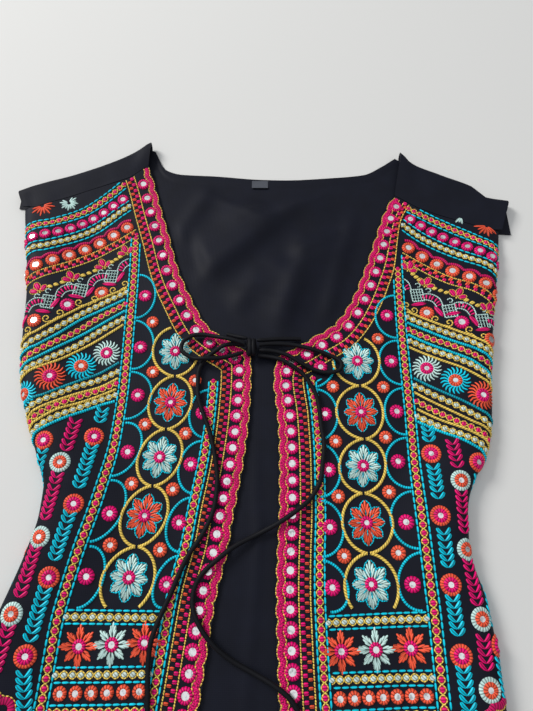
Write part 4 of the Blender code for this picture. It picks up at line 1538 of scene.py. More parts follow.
def neckline_work(side, face):
    """Scalloped crimson edge, mirrors, bricks and running stitches along the opening."""
    work = Embroidery(face)
    lanes = {name: clipped(side, lane_path(side, distance)) for name, distance in EDGE_LANES.items()}
    lane = lanes["rosettes"]
    lengths = travelled_lengths(lane)
    stops = edge_stops(side, lane, lengths)
    band = even_path(lanes["scallop"], 1.0)
    middle = []
    for n, point in enumerate(band):
        run = run_at(band, n)
        nearest = min(range(len(lane)), key=lambda k: (lane[k] - point).length_squared)
        swell = scallop_swell(lengths[nearest], stops)
        middle.append(point + Vector((run.y, -run.x)) * (SIGN[side] * (2.3 * swell - 1.75)))
    work.tube(middle, 4.6, 0.7, "crimson")
    for way in (1.0, -1.0):
        line = []
        for n, point in enumerate(middle):
            run = run_at(middle, n)
            line.append(point + Vector((run.y, -run.x)) * (way * 1.35 * math.sin(0.5 * math.pi * n)))
        work.tube(line, 1.1, 0.5, "magenta", lift=0.5)
    for distance in (2.2, -2.45):
        work.dashes(shifted(middle, SIGN[side] * distance), 2.2, 0.5, 0.95, 0.5, "gold", lift=0.3)
    for stop in stops:
        place = place_along(lane, lengths, stop)
        work.rosette(place.x, place.y, 5.2, "magenta", mirror_share=0.54)
    for name in ("gold_dash_a", "gold_dash_b"):
        stitched_line(work, "gold_dash", lanes[name])
    turn_y = EDGE_MIRRORS[side].neck_end_y
    for name, thread, shift, length in (("bricks_a", "magenta", 0.0, 2.9), ("bricks_b", "orange", 0.5, 2.3)):
        upper = [p for p in lanes[name] if p.y > turn_y]
        lower = [p for p in lanes[name] if p.y <= turn_y]
        bricks(work, upper, thread, shift, 6.2, (length, 3.6))
        bricks(work, lower, thread, shift, 4.9, (0.8 * length, 3.1))
    return work


def border_work(side, face):
    """Borders down both sides of the middle panel."""
    work = Embroidery(face)
    lines = (("teal_dash_a", "teal_dash"), ("chain", "magenta_chain"), ("teal_dash_b", "teal_dash"))
    for name, style in lines:
        lane = [p for p in lane_path(side, EDGE_LANES[name]) if p.y < INNER_BORDER_TOP[side]]
        stitched_line(work, style, lane)
    y_top = OUTER_BORDER[side][0].y
    middle = [Vector((BORDER_X[side](y_top - n), y_top - n)) for n in range(int(y_top - HEM_Y) - 1)]
    for distance, style in ((0.0, "magenta_chain"), (3.8, "teal_dash"), (-3.8, "teal_dash")):
        line = shifted(middle, distance)
        line = [p for p in line if edge_distance(side, p) > 26.0 * lane_squeeze(side, p.y)]
        stitched_line(work, style, line)
    return work


def shoulder_work(side, face):
    """Slanting bands of the shoulder, with the figures between them."""
    work = Embroidery(face)
    for row, style, shift in ((row, *line) for row in BANDS for line in row.styles):
        path = band_path(side, row, shift)
        if style == "magenta_rosettes":
            rosette_row(work, path, 10.4, 4.9, "magenta")
        elif style == "orange_rosettes":
            rosette_row(work, path, 13.4, 5.6, "orange")
            above = shifted(path, -SIGN[side] * 4.2)
            count = max(1, int(travelled_lengths(path)[-1] / 13.4))
            pitch = travelled_lengths(path)[-1] / count
            line = waved(above, pitch, 2.8) if side == "right" else waved(above, pitch, -2.8)
            work.tube(line, 2.4, 0.75, "crimson")
        else:
            stitched_line(work, style, path)
    motif_row(work, side)
    for row in SUNBURSTS[side]:
        sunburst(work, row)
    for row in CUT_STARS[side]:
        centre = Vector((row.x, row.y))
        for n in range(16):
            angle = math.radians(22.5 * n)
            out = Vector((math.cos(angle), math.sin(angle)))
            tip = centre + out * row.radius * (1.0 if n % 2 == 0 else 0.8)
            if tip.y < seam_y(side, tip.x) - 1.0:
                work.stitch(centre + out * 1.5, tip, 1.9, 0.65, row.thread)
    return work


def oval_cord(work, side, top, bottom, reach_x):
    """One side of an oval: gold cord that bows out from one meeting point to the next."""
    across = 1.0 if reach_x > 0.5 * (top.x + bottom.x) else -1.0
    swell = abs(reach_x - 0.5 * (top.x + bottom.x)) - 1.0
    path = []
    for n in range(41):
        share = n / 40.0
        turn = math.pi * share
        place = top.lerp(bottom, lerp(0.5 - 0.5 * math.cos(turn), share, 0.22))
        place.x += across * (1.0 + swell * math.sin(turn))
        path.append(place)
    floor = LEVEL_BANDS[side][0].outer_y + 1.4
    path = [p for p in path if p.y > floor and edge_distance(side, p, 2) > EDGE_LANES["gold_dash_b"] + 1.6]
    work.tube(path, 2.1, 1.0, "gold")


def panel_work(side, face):
    """Gold ovals with their flowers, half rounds and small rosettes of the middle panel."""
    work = Embroidery(face)
    meetings = [Vector(place) for place in OVAL_MEETINGS[side]]
    for n, row in enumerate(OVALS[side]):
        top = meetings[n]
        bottom = meetings[n + 1]
        for reach_x in row:
            oval_cord(work, side, top, bottom, reach_x)
        centre = top.lerp(bottom, 0.5 if n < 4 else 0.46)
        centre.x = 0.5 * centre.x + 0.25 * (row.low_x + row.high_x)
        tilt = math.atan2(top.x - bottom.x, top.y - bottom.y)
        star_flower(work, centre.x, centre.y, "orange" if n % 2 else "mint", "teal", 13.9, tilt)
    for row in ARCS[side]:
        start = Vector((row.x0, row.y0))
        end = Vector((row.x1, row.y1))
        middle = start.lerp(end, 0.5)
        half = (start - end) * 0.5
        crown = Vector((row.crown_x, row.crown_y)) - middle
        path = [
            middle + half * math.cos(a) + crown * math.sin(a)
            for a in (math.pi * k / 22.0 for k in range(23))
        ]
        work.tube(path, 1.8, 0.9, "teal")
    for x, y in MAGENTA_SPOTS[side]:
        work.rosette(float(x), float(y), 5.3, "magenta", mirror_share=0.42)
    for x, y in ORANGE_SPOTS[side]:
        work.rosette(float(x), float(y), 4.9, "orange", mirror_share=0.42)
    for n, (x, y) in enumerate(LOWER_FLOWERS[side]):
        long_star(work, x, y, "mint" if n == 1 else "orange", 12.6)
    for row in LEVEL_BANDS[side]:
        path = level_path(side, row)
        if row.style == "orange_rosettes":
            rosette_row(work, path, 9.0, 4.3, "orange")
        else:
            stitched_line(work, row.style, path)
    return work


def level_path(side, row):
    """Line of one level band, from the outer border to the inner one."""
    sign = SIGN[side]
    outer_x = BORDER_X[side](row.outer_y) - sign * 5.0
    inner_x = EDGE_X[side](row.inner_y) + sign * (EDGE_LANES["teal_dash_b"] + 1.4)
    start = Vector((outer_x, row.outer_y))
    end = Vector((inner_x, row.inner_y))
    return even_path([start, end], 1.5)


def vine_work(side, face):
    """Upright vines of the side panel, and the crimson edge of the lower corner."""
    work = Embroidery(face)
    for row in VINES[side]:
        leaf_vine(work, row)
    corner = CORNER_BANDS[side]
    path = [Vector((p.x, p.y)) for p in smooth_route([(x, y, 0.0) for x, y in corner], 1.2)]
    line = waved(path, 9.0, 2.0)
    work.tube(line, 4.4, 0.8, "crimson")
    work.dashes(waved(path, 9.0, 2.0, 2.7), 2.2, 0.5, 0.8, 0.5, "gold")
    return work


# Materials


def linear(hex_colour):
    """Linear red, green and blue of an sRGB hex colour."""
    parts = [int(hex_colour[n:n + 2], 16) / 255.0 for n in (0, 2, 4)]
    return tuple(p / 12.92 if p <= 0.04045 else ((p + 0.055) / 1.055) ** 2.4 for p in parts)


def rgba(colour, share=1.0):
    """Colour with full alpha, darkened to a share of itself."""
    return tuple(part * share for part in colour[:3]) + (1.0,)


def add_node(tree, kind, settings=None, inputs=None):
    """Add a node with its settings, and a value or a link for each input named."""
    made = tree.nodes.new(kind)
    for name, value in (settings or {}).items():
        setattr(made, name, value)
    for name, value in (inputs or {}).items():
        if isinstance(value, bpy.types.NodeSocket):
            tree.links.new(value, made.inputs[name])
        else:
            made.inputs[name].default_value = value
    return made


def start_material(name):
    """New material with a bare principled shader: the material, its tree and the shader."""
    material = bpy.data.materials.new(name)
    material.use_nodes = True
    tree = material.node_tree
    tree.nodes.clear()
    shader = add_node(tree, "ShaderNodeBsdfPrincipled")
    add_node(tree, "ShaderNodeOutputMaterial", None, {"Surface": shader.outputs["BSDF"]})
    return material, tree, shader


def satin_thread(name, colour, shade, slant):
    """Satin stitch: threads side by side, each at full colour on its crown, with painted shade darkening it
    beside the crown.
    """
    material, tree, shader = start_material(name)
    run = add_node(tree, "ShaderNodeUVMap", {"uv_map": "thread_run"})
    # Threads of 0.4 mm are too fine to show, so they are drawn 1.7 mm apart
    threads = add_node(
        tree, "ShaderNodeTexWave",
        {"wave_type": "BANDS", "bands_direction": "DIAGONAL" if slant else "X"},
        {"Vector": run.outputs["UV"], "Scale": 0.3 if slant else 0.185, "Distortion": 0.7,
         "Detail": 1.0, "Detail Scale": 1.4},
    )
    place = add_node(tree, "ShaderNodeTexCoord")
    uneven = add_node(
        tree, "ShaderNodeTexNoise", None,
        {"Vector": place.outputs["Object"], "Scale": 190.0, "Detail": 2.0},
    )
    # Painted shade: the colour falls to the thread's shade share in the valleys between threads
    depth = add_node(
        tree, "ShaderNodeMapRange", None,
        {"Value": threads.outputs["Fac"], "From Min": 0.0, "From Max": 0.6, "To Min": shade, "To Max": 1.0},
    )
    drift = add_node(
        tree, "ShaderNodeMapRange", None,
        {"Value": uneven.outputs["Fac"], "From Min": 0.3, "From Max": 0.7, "To Min": 0.78, "To Max": 1.14},
    )
    level = add_node(
        tree, "ShaderNodeMath", {"operation": "MULTIPLY"},
        {0: depth.outputs["Result"], 1: drift.outputs["Result"]},
    )
    tone = add_node(
        tree, "ShaderNodeVectorMath", {"operation": "SCALE"},
        {0: colour[:3], "Scale": level.outputs["Value"]},
    )
    relief = add_node(
        tree, "ShaderNodeBump", None,
        {"Strength": 0.6, "Distance": 0.00022, "Height": threads.outputs["Fac"]},
    )
    tree.links.new(tone.outputs["Vector"], shader.inputs["Base Color"])
    tree.links.new(relief.outputs["Normal"], shader.inputs["Normal"])
    shader.inputs["Roughness"].default_value = 0.45
    shader.inputs["IOR"].default_value = 1.5
    # Filaments scatter part of the gloss, so less of it comes back than from a solid face
    shader.inputs["Specular IOR Level"].default_value = 0.2
    return material


def plain_cotton(name, colour, weave):
    """Plain-woven cotton: soft and nearly matt, with the weave and a few slubs just showing."""
    material, tree, shader = start_material(name)
    place = add_node(tree, "ShaderNodeTexCoord")
    # A weave of 0.4 mm is too fine to show, so it is drawn 1.2 mm apart
    weft, warp = (
        add_node(
            tree, "ShaderNodeTexWave", {"wave_type": "BANDS", "bands_direction": way},
            {"Vector": place.outputs["Object"], "Scale": weave, "Distortion": 0.8, "Detail": 1.0},
        )
        for way in "XY"
    )
    woven = add_node(
        tree, "ShaderNodeMath", {"operation": "MULTIPLY"},
        {0: weft.outputs["Fac"], 1: warp.outputs["Fac"]},
    )
    cloudy = add_node(
        tree, "ShaderNodeTexNoise", None,
        {"Vector": place.outputs["Object"], "Scale": 45.0, "Detail": 5.0, "Roughness": 0.6},
    )
    mottle = add_node(
        tree, "ShaderNodeMapRange", None,
        {"Value": cloudy.outputs["Fac"], "From Min": 0.3, "From Max": 0.7, "To Min": 0.82, "To Max": 1.2},
    )
    tone = add_node(
        tree, "ShaderNodeVectorMath", {"operation": "SCALE"},
        {0: colour[:3], "Scale": mottle.outputs["Result"]},
    )
    relief = add_node(
        tree, "ShaderNodeBump", None,
        {"Strength": 0.35, "Distance": 0.00012, "Height": woven.outputs["Value"]},
    )
    tree.links.new(tone.outputs["Vector"], shader.inputs["Base Color"])
    tree.links.new(relief.outputs["Normal"], shader.inputs["Normal"])
    shader.inputs["Roughness"].default_value = 0.6
    shader.inputs["IOR"].default_value = 1.46
    # Fibres scatter part of the shine, so that only the crowns of the folds catch it
    shader.inputs["Specular IOR Level"].default_value = 0.18
    shader.inputs["Sheen Weight"].default_value = 0.02
    shader.inputs["Sheen Roughness"].default_value = 0.45
    return material


def silvered_glass(name, colour):
    """Small mirrors: bright, not quite flat, with painted grey flecks that stand for reflections of darker
    surroundings.
    """
    material, tree, shader = start_material(name)
    place = add_node(tree, "ShaderNodeTexCoord")
    reflection_fleck_and_relief_noise = add_node(
        tree, "ShaderNodeTexNoise", None,
        {"Vector": place.outputs["Object"], "Scale": 420.0, "Detail": 2.0},
    )
    # Painted reflection: grey flecks darken the mirror colour as if darker surroundings were reflected
    painted_reflection_flecks = add_node(
        tree, "ShaderNodeMapRange", None,
        {"Value": reflection_fleck_and_relief_noise.outputs["Fac"], "From Min": 0.32, "From Max": 0.5, "To Min": 0.5, "To Max": 0.96},
    )
    tone = add_node(
        tree, "ShaderNodeVectorMath", {"operation": "SCALE"},
        {0: colour[:3], "Scale": painted_reflection_flecks.outputs["Result"]},
    )
    relief = add_node(
        tree, "ShaderNodeBump", None,
        {"Strength": 0.25, "Distance": 0.0003, "Height": reflection_fleck_and_relief_noise.outputs["Fac"]},
    )
    tree.links.new(tone.outputs["Vector"], shader.inputs["Base Color"])
    tree.links.new(relief.outputs["Normal"], shader.inputs["Normal"])
    shader.inputs["Metallic"].default_value = 1.0
    shader.inputs["Roughness"].default_value = 0.24
    return material


def matt_paint(name, colour):
    """Even matt surface of the floor, which keeps shadows soft and colour plain."""
    material, tree, shader = start_material(name)
    shader.inputs["Base Color"].default_value = rgba(colour)
    shader.inputs["Roughness"].default_value = 0.9
    return material


MADE_MATERIALS = {}


def named_material(name):
    """Material by name, made on first use with the user's colours."""
    if name not in MADE_MATERIALS:
        settings = bpy.context.scene.waistcoat
        if name == "cotton_weave":
            made = plain_cotton(name, settings.cloth_colour, 260.0)
        elif name == "tie_weave":
            made = plain_cotton(name, settings.tie_colour, 420.0)
        elif name == "label_weave":
            made = plain_cotton(name, settings.label_colour, 520.0)
        elif name == "silvered_mirror":
            made = silvered_glass(name, settings.mirror_colour)
        elif name == "matt_floor":
            made = matt_paint(name, settings.floor_colour)
        else:
            thread = name.removesuffix("_satin")
            colour = getattr(settings, thread + "_colour")
            made = satin_thread(name, colour, THREADS[thread].shade, thread == "gold")
        MADE_MATERIALS[name] = made
    return MADE_MATERIALS[name]


def thread_materials():
    """Materials of every thread and of the mirrors, by the name the stitches use."""
    materials = {thread: named_material(thread + "_satin") for thread in THREADS}
    materials[MIRROR] = named_material("silvered_mirror")
    return materials


# Cloth and tie


BACK_WALL = 1.2
FRONT_WALL = 1.6
FRONT_COLUMNS = 76
FRONT_ROWS = 190
ROLL_STEPS = 14
TUCK_STEPS = 3


def mesh_object(name, points, faces, material, sharp=50.0):
    """Object of one material, with its faces turned outwards."""
    mesh = bpy.data.meshes.new(name)
    mesh.from_pydata([p * MM for p in points], [], faces)
    form = bmesh.new()
    form.from_mesh(mesh)
    bmesh.ops.recalc_face_normals(form, faces=form.faces)
    form.to_mesh(mesh)
    form.free()
    mesh.shade_smooth()
    mesh.set_sharp_from_angle(angle=math.radians(sharp))
    mesh.materials.append(material)
    obj = bpy.data.objects.new(name, mesh)
    bpy.context.scene.collection.objects.link(obj)
    return obj


def shell_object(name, outer, inner, cells, material):
    """Thin closed shell between two grids of points, over the given cells."""
    keys = sorted({(i + a, j + b) for i, j in cells for a in (0, 1) for b in (0, 1)})
    index = {key: n for n, key in enumerate(keys)}
    size = len(keys)
    points = [outer[key] for key in keys] + [inner[key] for key in keys]
    faces = []
    for i, j in sorted(cells):
        corners = (index[i, j], index[i + 1, j], index[i + 1, j + 1], index[i, j + 1])
        faces.append(corners)
        faces.append(tuple(c + size for c in reversed(corners)))
        for a, b, di, dj in ((0, 1, 0, -1), (1, 2, 1, 0), (2, 3, 0, 1), (3, 0, -1, 0)):
            if (i + di, j + dj) not in cells:
                faces.append((corners[b], corners[a], corners[a] + size, corners[b] + size))
    return mesh_object(name, points, faces, material)


def grid_area(grid, cells):
    """Area of the cloth in a grid of points, in square metres."""
    area = 0.0
    for i, j in cells:
        first = grid[i + 1, j + 1] - grid[i, j]
        second = grid[i, j + 1] - grid[i + 1, j]
        area += 0.5 * first.cross(second).length
    return area * MM * MM


def front_shell(side):
    """One front, rolled under at its side edge: the object and its flat area."""
    sign = SIGN[side]
    outer = {}
    inner = {}
    last = FRONT_COLUMNS + ROLL_STEPS + TUCK_STEPS
    for j in range(FRONT_ROWS + 1):
        up = j / FRONT_ROWS
        y_in = lerp(HEM_Y, SEAM_TIP_Y[side] - SEAM_GAP, up)
        y_out = lerp(HEM_Y, SEAM_END_Y[side] - SEAM_GAP, up)
        x_in = EDGE_X[side](y_in)
        x_roll = SIDE_X[side](y_out) - sign * ROLL_WIDTH
        for i in range(FRONT_COLUMNS + 1):
            across = i / FRONT_COLUMNS
            x = lerp(x_in, x_roll, across)
            y = lerp(y_in, y_out, across)
            top_line = lerp(SEAM_TIP_Y[side], SEAM_END_Y[side], across)
            inside_ends = ease(i / 3.0) * ease((FRONT_COLUMNS - i) / 3.0)
            y += inside_ends * (seam_y(side, x) - top_line) * up ** SEAM_BEND
            height = front_top(side, x, y)
            outer[i, j] = Vector((x, y, height))
            inner[i, j] = Vector((x, y, height - FRONT_WALL))
        half = outer[FRONT_COLUMNS, j].z / 2.0
        for k in range(1, ROLL_STEPS + 1):
            angle = math.pi * k / ROLL_STEPS
            reach = sign * math.sin(angle)
            rise = math.cos(angle)
            outer[FRONT_COLUMNS + k, j] = Vector((x_roll + ROLL_WIDTH * reach, y_out, half + half * rise))
            inner[FRONT_COLUMNS + k, j] = Vector((
                x_roll + (ROLL_WIDTH - FRONT_WALL) * reach, y_out, half + (half - FRONT_WALL) * rise,
            ))
        for k in range(1, TUCK_STEPS + 1):
            x = x_roll - sign * TUCK_WIDTH * k / TUCK_STEPS
            outer[FRONT_COLUMNS + ROLL_STEPS + k, j] = Vector((x, y_out, 0.0))
            inner[FRONT_COLUMNS + ROLL_STEPS + k, j] = Vector((x, y_out, FRONT_WALL))
    cells = {(i, j) for i in range(last) for j in range(FRONT_ROWS)}
    name = "cloth_front_" + side
    return shell_object(name, outer, inner, cells, named_material("cotton_weave")), grid_area(outer, cells)


BACK_ROWS = 120
YOKE_ROWS = 26
FOLD_STEPS = 12
STRIP_ROWS = 16


def back_columns():
    """X of the back's columns at its top: the count outside the side edges, then all of them."""
    left = [lerp(*ARMHOLE_CORNER["left"], n / 4.0) for n in range(4)] + [ARMHOLE_CORNER["left"][1]]
    right = [lerp(*ARMHOLE_CORNER["right"], n / 4.0) for n in range(4)] + [ARMHOLE_CORNER["right"][1]]
    stops = (BACK_MAIN_X[0], NECK_POINT["left"], NECK_POINT["right"], BACK_MAIN_X[1])
    middle = [stops[0]]
    for start, end in zip(stops, stops[1:]):
        count = max(1, round((end - start) / 3.6))
        middle += [lerp(start, end, (n + 1) / count) for n in range(count)]
    return len(left), left + middle + right


def back_side_x(side, y):
    """X of the back's side edge, beside the turned-under edge of the front."""
    opened = ease((y - UNDERARM_Y) / SLIT_END) * ease((SEAM_END_Y[side] - y) / SLIT_END)
    inset = ROLL_WIDTH + TUCK_WIDTH + SEAM_GAP + ARMHOLE_SLIT * opened
    return SIDE_X[side](y) - SIGN[side] * inset


def hem_step(distance, width, height):
    """Extra height of a turned hem, at a distance from its edge."""
    inside = ease((width + 0.8 - distance) / 1.6)
    groove = math.exp(-((distance - width - 0.4) / 0.9) ** 2)
    return height * inside - 0.6 * height * groove


def back_shell():
    """Back, which comes over each shoulder to the seam in front: the object and its area."""
    first_main, columns = back_columns()
    last_main = len(columns) - 1 - first_main
    neck_left = min(range(len(columns)), key=lambda n: abs(columns[n] - NECK_POINT["left"]))
    neck_right = min(range(len(columns)), key=lambda n: abs(columns[n] - NECK_POINT["right"]))
    outer = {}
    inner = {}

    def lay(i, j, x, y, extra=0.0):
        lift = back_lift(x, y)
        outer[i, j] = Vector((x, y, max(lift, 0.0)))
        inner[i, j] = Vector((x, y, max(lift, 0.0) + BACK_WALL + extra))

    for i, x_top in enumerate(columns):
        main_share = (x_top - columns[first_main]) / (columns[last_main] - columns[first_main])
        for j in range(BACK_ROWS + 1):
            up = j / BACK_ROWS
            left_y = lerp(HEM_Y, SEAM_END_Y["left"] - SEAM_GAP, up)
            right_y = lerp(HEM_Y, SEAM_END_Y["right"] - SEAM_GAP, up)
            x = lerp(back_side_x("left", left_y), back_side_x("right", right_y), main_share)
            lay(i, j, x, lerp(left_y, right_y, main_share))
        on_fold = i <= neck_left or i >= neck_right
        y_step = outer[i, BACK_ROWS].y + STEP_GAP
        y_end = TOP_Y(x_top) - (FOLD_DEPTH if on_fold else 0.0)
        for k in range(YOKE_ROWS + 1):
            y = lerp(y_step, y_end, k / YOKE_ROWS)
            extra = 0.0 if on_fold else hem_step(y_end - y, 8.0, 0.45)
            lay(i, BACK_ROWS + 1 + k, x_top, y, extra)
        if not on_fold:
            continue
        side = "left" if i <= neck_left else "right"
        ear = EAR_HEIGHT * (1.0 - ease(abs(x_top - NECK_POINT[side]) / EAR_WIDTH))
        half = (front_height(side, x_top, y_end) + ear) / 2.0
        j = BACK_ROWS + 1 + YOKE_ROWS
        for k in range(1, FOLD_STEPS + 1):
            j += 1
            angle = math.pi * k / FOLD_STEPS
            reach = math.sin(angle)
            rise = 1.0 - math.cos(angle)
            outer[i, j] = Vector((x_top, y_end + FOLD_DEPTH * reach, half * rise))
            inner[i, j] = Vector((
                x_top, y_end + (FOLD_DEPTH - BACK_WALL) * reach, BACK_WALL + (half - BACK_WALL) * rise,
            ))
        seam_x = straight_column(SEAMS[side], "fold_x", "x", x_top)
        for k in range(1, STRIP_ROWS + 1):
            j += 1
            down = k / STRIP_ROWS
            x = lerp(x_top, seam_x, down)
            y = lerp(y_end, seam_y(side, seam_x) + SEAM_GAP, down)
            from_edge = abs(x_top - ARMHOLE_CORNER[side][0 if side == "left" else 1])
            height = front_height(side, x, y) + ear * (1.0 - down)
            shape = pucker(x, y, 17.0, 0.5) * ease(k / 4.0) * ease((STRIP_ROWS - k) / 3.0)
            height += shape + hem_step(from_edge, 9.0, 0.35) * ease(k / 3.0)
            outer[i, j] = Vector((x, y, height))
            inner[i, j] = Vector((x, y, height - BACK_WALL))
    yoke_top = BACK_ROWS + 1 + YOKE_ROWS
    strip_end = yoke_top + FOLD_STEPS + STRIP_ROWS
    last = len(columns) - 1
    cells = {(i, j) for i in range(first_main, last_main) for j in range(yoke_top)}
    cells |= {(i, j) for i in range(last) for j in range(BACK_ROWS + 1, yoke_top)}
    cells |= {(i, j) for i in range(neck_left) for j in range(yoke_top, strip_end)}
    cells |= {(i, j) for i in range(neck_right, last) for j in range(yoke_top, strip_end)}
    cloth = shell_object("cloth_back", outer, inner, cells, named_material("cotton_weave"))
    return cloth, grid_area(outer, cells)


def tie_cord(name, route, diameter):
    """Piece of the tie along its route: the object and its length in millimetres."""
    path = smooth_route(route, 2.0)
    curve = bpy.data.curves.new(name, "CURVE")
    curve.dimensions = "3D"
    curve.bevel_depth = 0.5 * diameter * MM
    curve.bevel_resolution = 4
    curve.use_fill_caps = True
    spline = curve.splines.new("POLY")
    spline.points.add(len(path) - 1)
    for point, place in zip(spline.points, path):
        point.co = (*(place * MM), 1.0)
    for point, share in zip((spline.points[-1], spline.points[-2]), (0.55, 0.92)):
        point.radius = share
    curve.materials.append(named_material("tie_weave"))
    obj = bpy.data.objects.new(name, curve)
    bpy.context.scene.collection.objects.link(obj)
    return obj, travelled_lengths(path)[-1]


def round_tube(points, faces, path, radius):
    """Add a closed round tube along a closed path to lists of points and faces."""
    count = len(path)
    sides = 12
    first = len(points)
    for n, place in enumerate(path):
        run = (path[(n + 1) % count] - path[n - 1]).normalized()
        across = run.cross(Vector((1.0, 0.2, 0.0))).normalized()
        lift = across.cross(run)
        for k in range(sides):
            angle = 2.0 * math.pi * k / sides
            points.append(place + across * (radius * math.cos(angle)) + lift * (radius * math.sin(angle)))
    for n in range(count):
        for k in range(sides):
            a = first + n * sides
            b = first + (n + 1) % count * sides
            m = (k + 1) % sides
            faces.append((a + k, a + m, b + m, b + k))


def tie_knot():
    """Knot of the tie: two snug turns of cord round the cords that pass through."""
    centre = Vector(KNOT_CENTRE)
    half_x, half_y, half_z = KNOT_HALF_SIZE
    radius = 0.5 * CORD_DIAMETER
    points = []
    faces = []
    for shift, lean, share in ((-0.5, 0.7, 1.0), (0.5, -0.4, 0.94)):
        path = []
        for n in range(28):
            angle = 2.0 * math.pi * n / 28
            path.append(centre + Vector((
                shift * (half_x - radius) + lean * math.sin(angle),
                (half_y - radius) * share * math.cos(angle),
                (half_z - radius) * share * math.sin(angle),
            )))
        round_tube(points, faces, path, radius)
    return mesh_object("tie_knot_turns", points, faces, named_material("tie_weave"))


def label_tab():
    """Bare woven size tab, sewn flat inside the back of the neck."""
    x0, y0 = LABEL_CENTRE
    outer = {}
    inner = {}
    for i in range(11):
        for j in range(8):
            x = x0 + 14.6 * (i / 10.0 - 0.5)
            y = y0 + 8.6 * (j / 7.0 - 0.5)
            lift = back_lift(x, y) + BACK_WALL + 0.05
            curl = 0.9 * (1.0 - j / 7.0) ** 2
            outer[i, j] = Vector((x, y, lift + 0.55 + curl))
            inner[i, j] = Vector((x, y, lift + curl))
    cells = {(i, j) for i in range(10) for j in range(7)}
    return shell_object("size_tab", outer, inner, cells, named_material("label_weave"))


# Stage and camera


CAMERA_PLACE = (0.0035, -0.118, 0.3968)
CAMERA_LEAN = math.radians(22.0)
CAMERA_LENS = 27.09
CAMERA_SENSOR = 36.0


def make_floor():
    """Plain pale surface that the waistcoat lies on."""
    mesh = bpy.data.meshes.new("floor")
    reach = 3.0
    below = -0.0002
    corners = [(-reach, -reach, below), (reach, -reach, below), (reach, reach, below), (-reach, reach, below)]
    mesh.from_pydata(corners, [], [(0, 1, 2, 3)])
    mesh.materials.append(named_material("matt_floor"))
    obj = bpy.data.objects.new("floor", mesh)
    bpy.context.scene.collection.objects.link(obj)
    return obj


def make_lamp(name, place, aim, size, power, colour):
    """Soft square lamp that faces a point."""
    lamp = bpy.data.lights.new(name, "AREA")
    lamp.shape = "SQUARE"
    lamp.size = size
    lamp.energy = power
    lamp.color = colour
    obj = bpy.data.objects.new(name, lamp)
    obj.location = place
    obj.rotation_euler = (Vector(aim) - Vector(place)).to_track_quat("-Z", "Y").to_euler()
    bpy.context.scene.collection.objects.link(obj)
    return obj


def make_world(brightness):
    """Pale room that is bright overhead and dimmer near the level of the floor."""
    world = bpy.data.worlds.new("pale_room")
    world.use_nodes = True
    tree = world.node_tree
    tree.nodes.clear()
    way = add_node(tree, "ShaderNodeTexCoord")
    parts = add_node(tree, "ShaderNodeSeparateXYZ", None, {"Vector": way.outputs["Generated"]})
    level = add_node(
        tree, "ShaderNodeMapRange", None,
        {"Value": parts.outputs["Z"], "From Min": 0.2, "From Max": 1.0,
         "To Min": 0.22 * brightness, "To Max": 1.3 * brightness},
    )
    air = add_node(tree, "ShaderNodeBackground", None,
                   {"Color": (0.95, 0.97, 1.0, 1.0), "Strength": level.outputs["Result"]})
    add_node(tree, "ShaderNodeOutputWorld", None, {"Surface": air.outputs["Background"]})
    bpy.context.scene.world = world


def make_camera():
    """Camera over the waistcoat's middle, leaning towards its shoulders."""
    lens = bpy.data.cameras.new("camera")
    lens.lens = CAMERA_LENS
    lens.sensor_width = CAMERA_SENSOR
    lens.clip_start = 0.01
    obj = bpy.data.objects.new("camera", lens)
    obj.location = CAMERA_PLACE
    obj.rotation_euler = (CAMERA_LEAN, 0.0, 0.0)
    bpy.context.scene.collection.objects.link(obj)
    bpy.context.scene.camera = obj


# Add-on's own parts


def colour_setting(label, description, hex_colour):
    """Colour that a user may change."""
    return bpy.props.FloatVectorProperty(
        name=label, description=description, subtype="COLOR", size=3, min=0.0, max=1.0,
        default=linear(hex_colour),
    )


class WaistcoatSettings(bpy.types.PropertyGroup):
    """Sizes and colours of the waistcoat that a user may change"""

    cloth_colour: colour_setting("Cloth", "Colour of the cotton cloth", "0C0F1C")
    tie_colour: colour_setting("Tie", "Colour of the tie cord", "0B0C12")
    label_colour: colour_setting("Label", "Colour of the size tab", "4A4D55")
    mirror_colour: colour_setting("Mirrors", "Colour of the small mirrors", "FAFAFA")
    floor_colour: colour_setting("Floor", "Colour of the surface under the waistcoat", "D9D9D7")
    magenta_colour: colour_setting("Magenta", "Thread of the edge's mirrors", THREADS["magenta"].crown)
    crimson_colour: colour_setting("Crimson", "Thread of the scalloped edge", THREADS["crimson"].crown)
    teal_colour: colour_setting("Teal", "Thread of the half rounds and borders", THREADS["teal"].crown)
    deep_teal_colour: colour_setting("Deep teal", "Thread of the darker bands", THREADS["deep_teal"].crown)
    gold_colour: colour_setting("Gold", "Thread of the ovals and chains", THREADS["gold"].crown)
    orange_colour: colour_setting("Orange", "Thread of the red flowers", THREADS["orange"].crown)
    mint_colour: colour_setting("Mint", "Thread of the pale flowers", THREADS["mint"].crown)
    silver_colour: colour_setting("Silver", "Thread of the pale beads", THREADS["silver"].crown)
    cord_diameter: bpy.props.FloatProperty(
        name="Tie cord", description="Diameter of the tie cord", unit="LENGTH",
        min=0.002, max=0.005, default=CORD_DIAMETER * MM,
    )
    lamp_power: bpy.props.FloatProperty(
        name="Lamp", description="Power of the main lamp", min=0.0, max=200.0, default=64.0,
    )
    room_brightness: bpy.props.FloatProperty(
        name="Room", description="Brightness of the surroundings", min=0.0, max=3.0, default=0.66,
    )


def add_embroidery(name, side, make, nodes):
    """Make one region's embroidery on a front and put it in place of the solid's trims."""
    if side not in FACES:
        FACES[side] = ClothFace(side)
    piece = make(side, FACES[side]).object(name, thread_materials())
    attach(piece, "root")
    if nodes:
        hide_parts(*nodes)
    return piece


FACES = {}


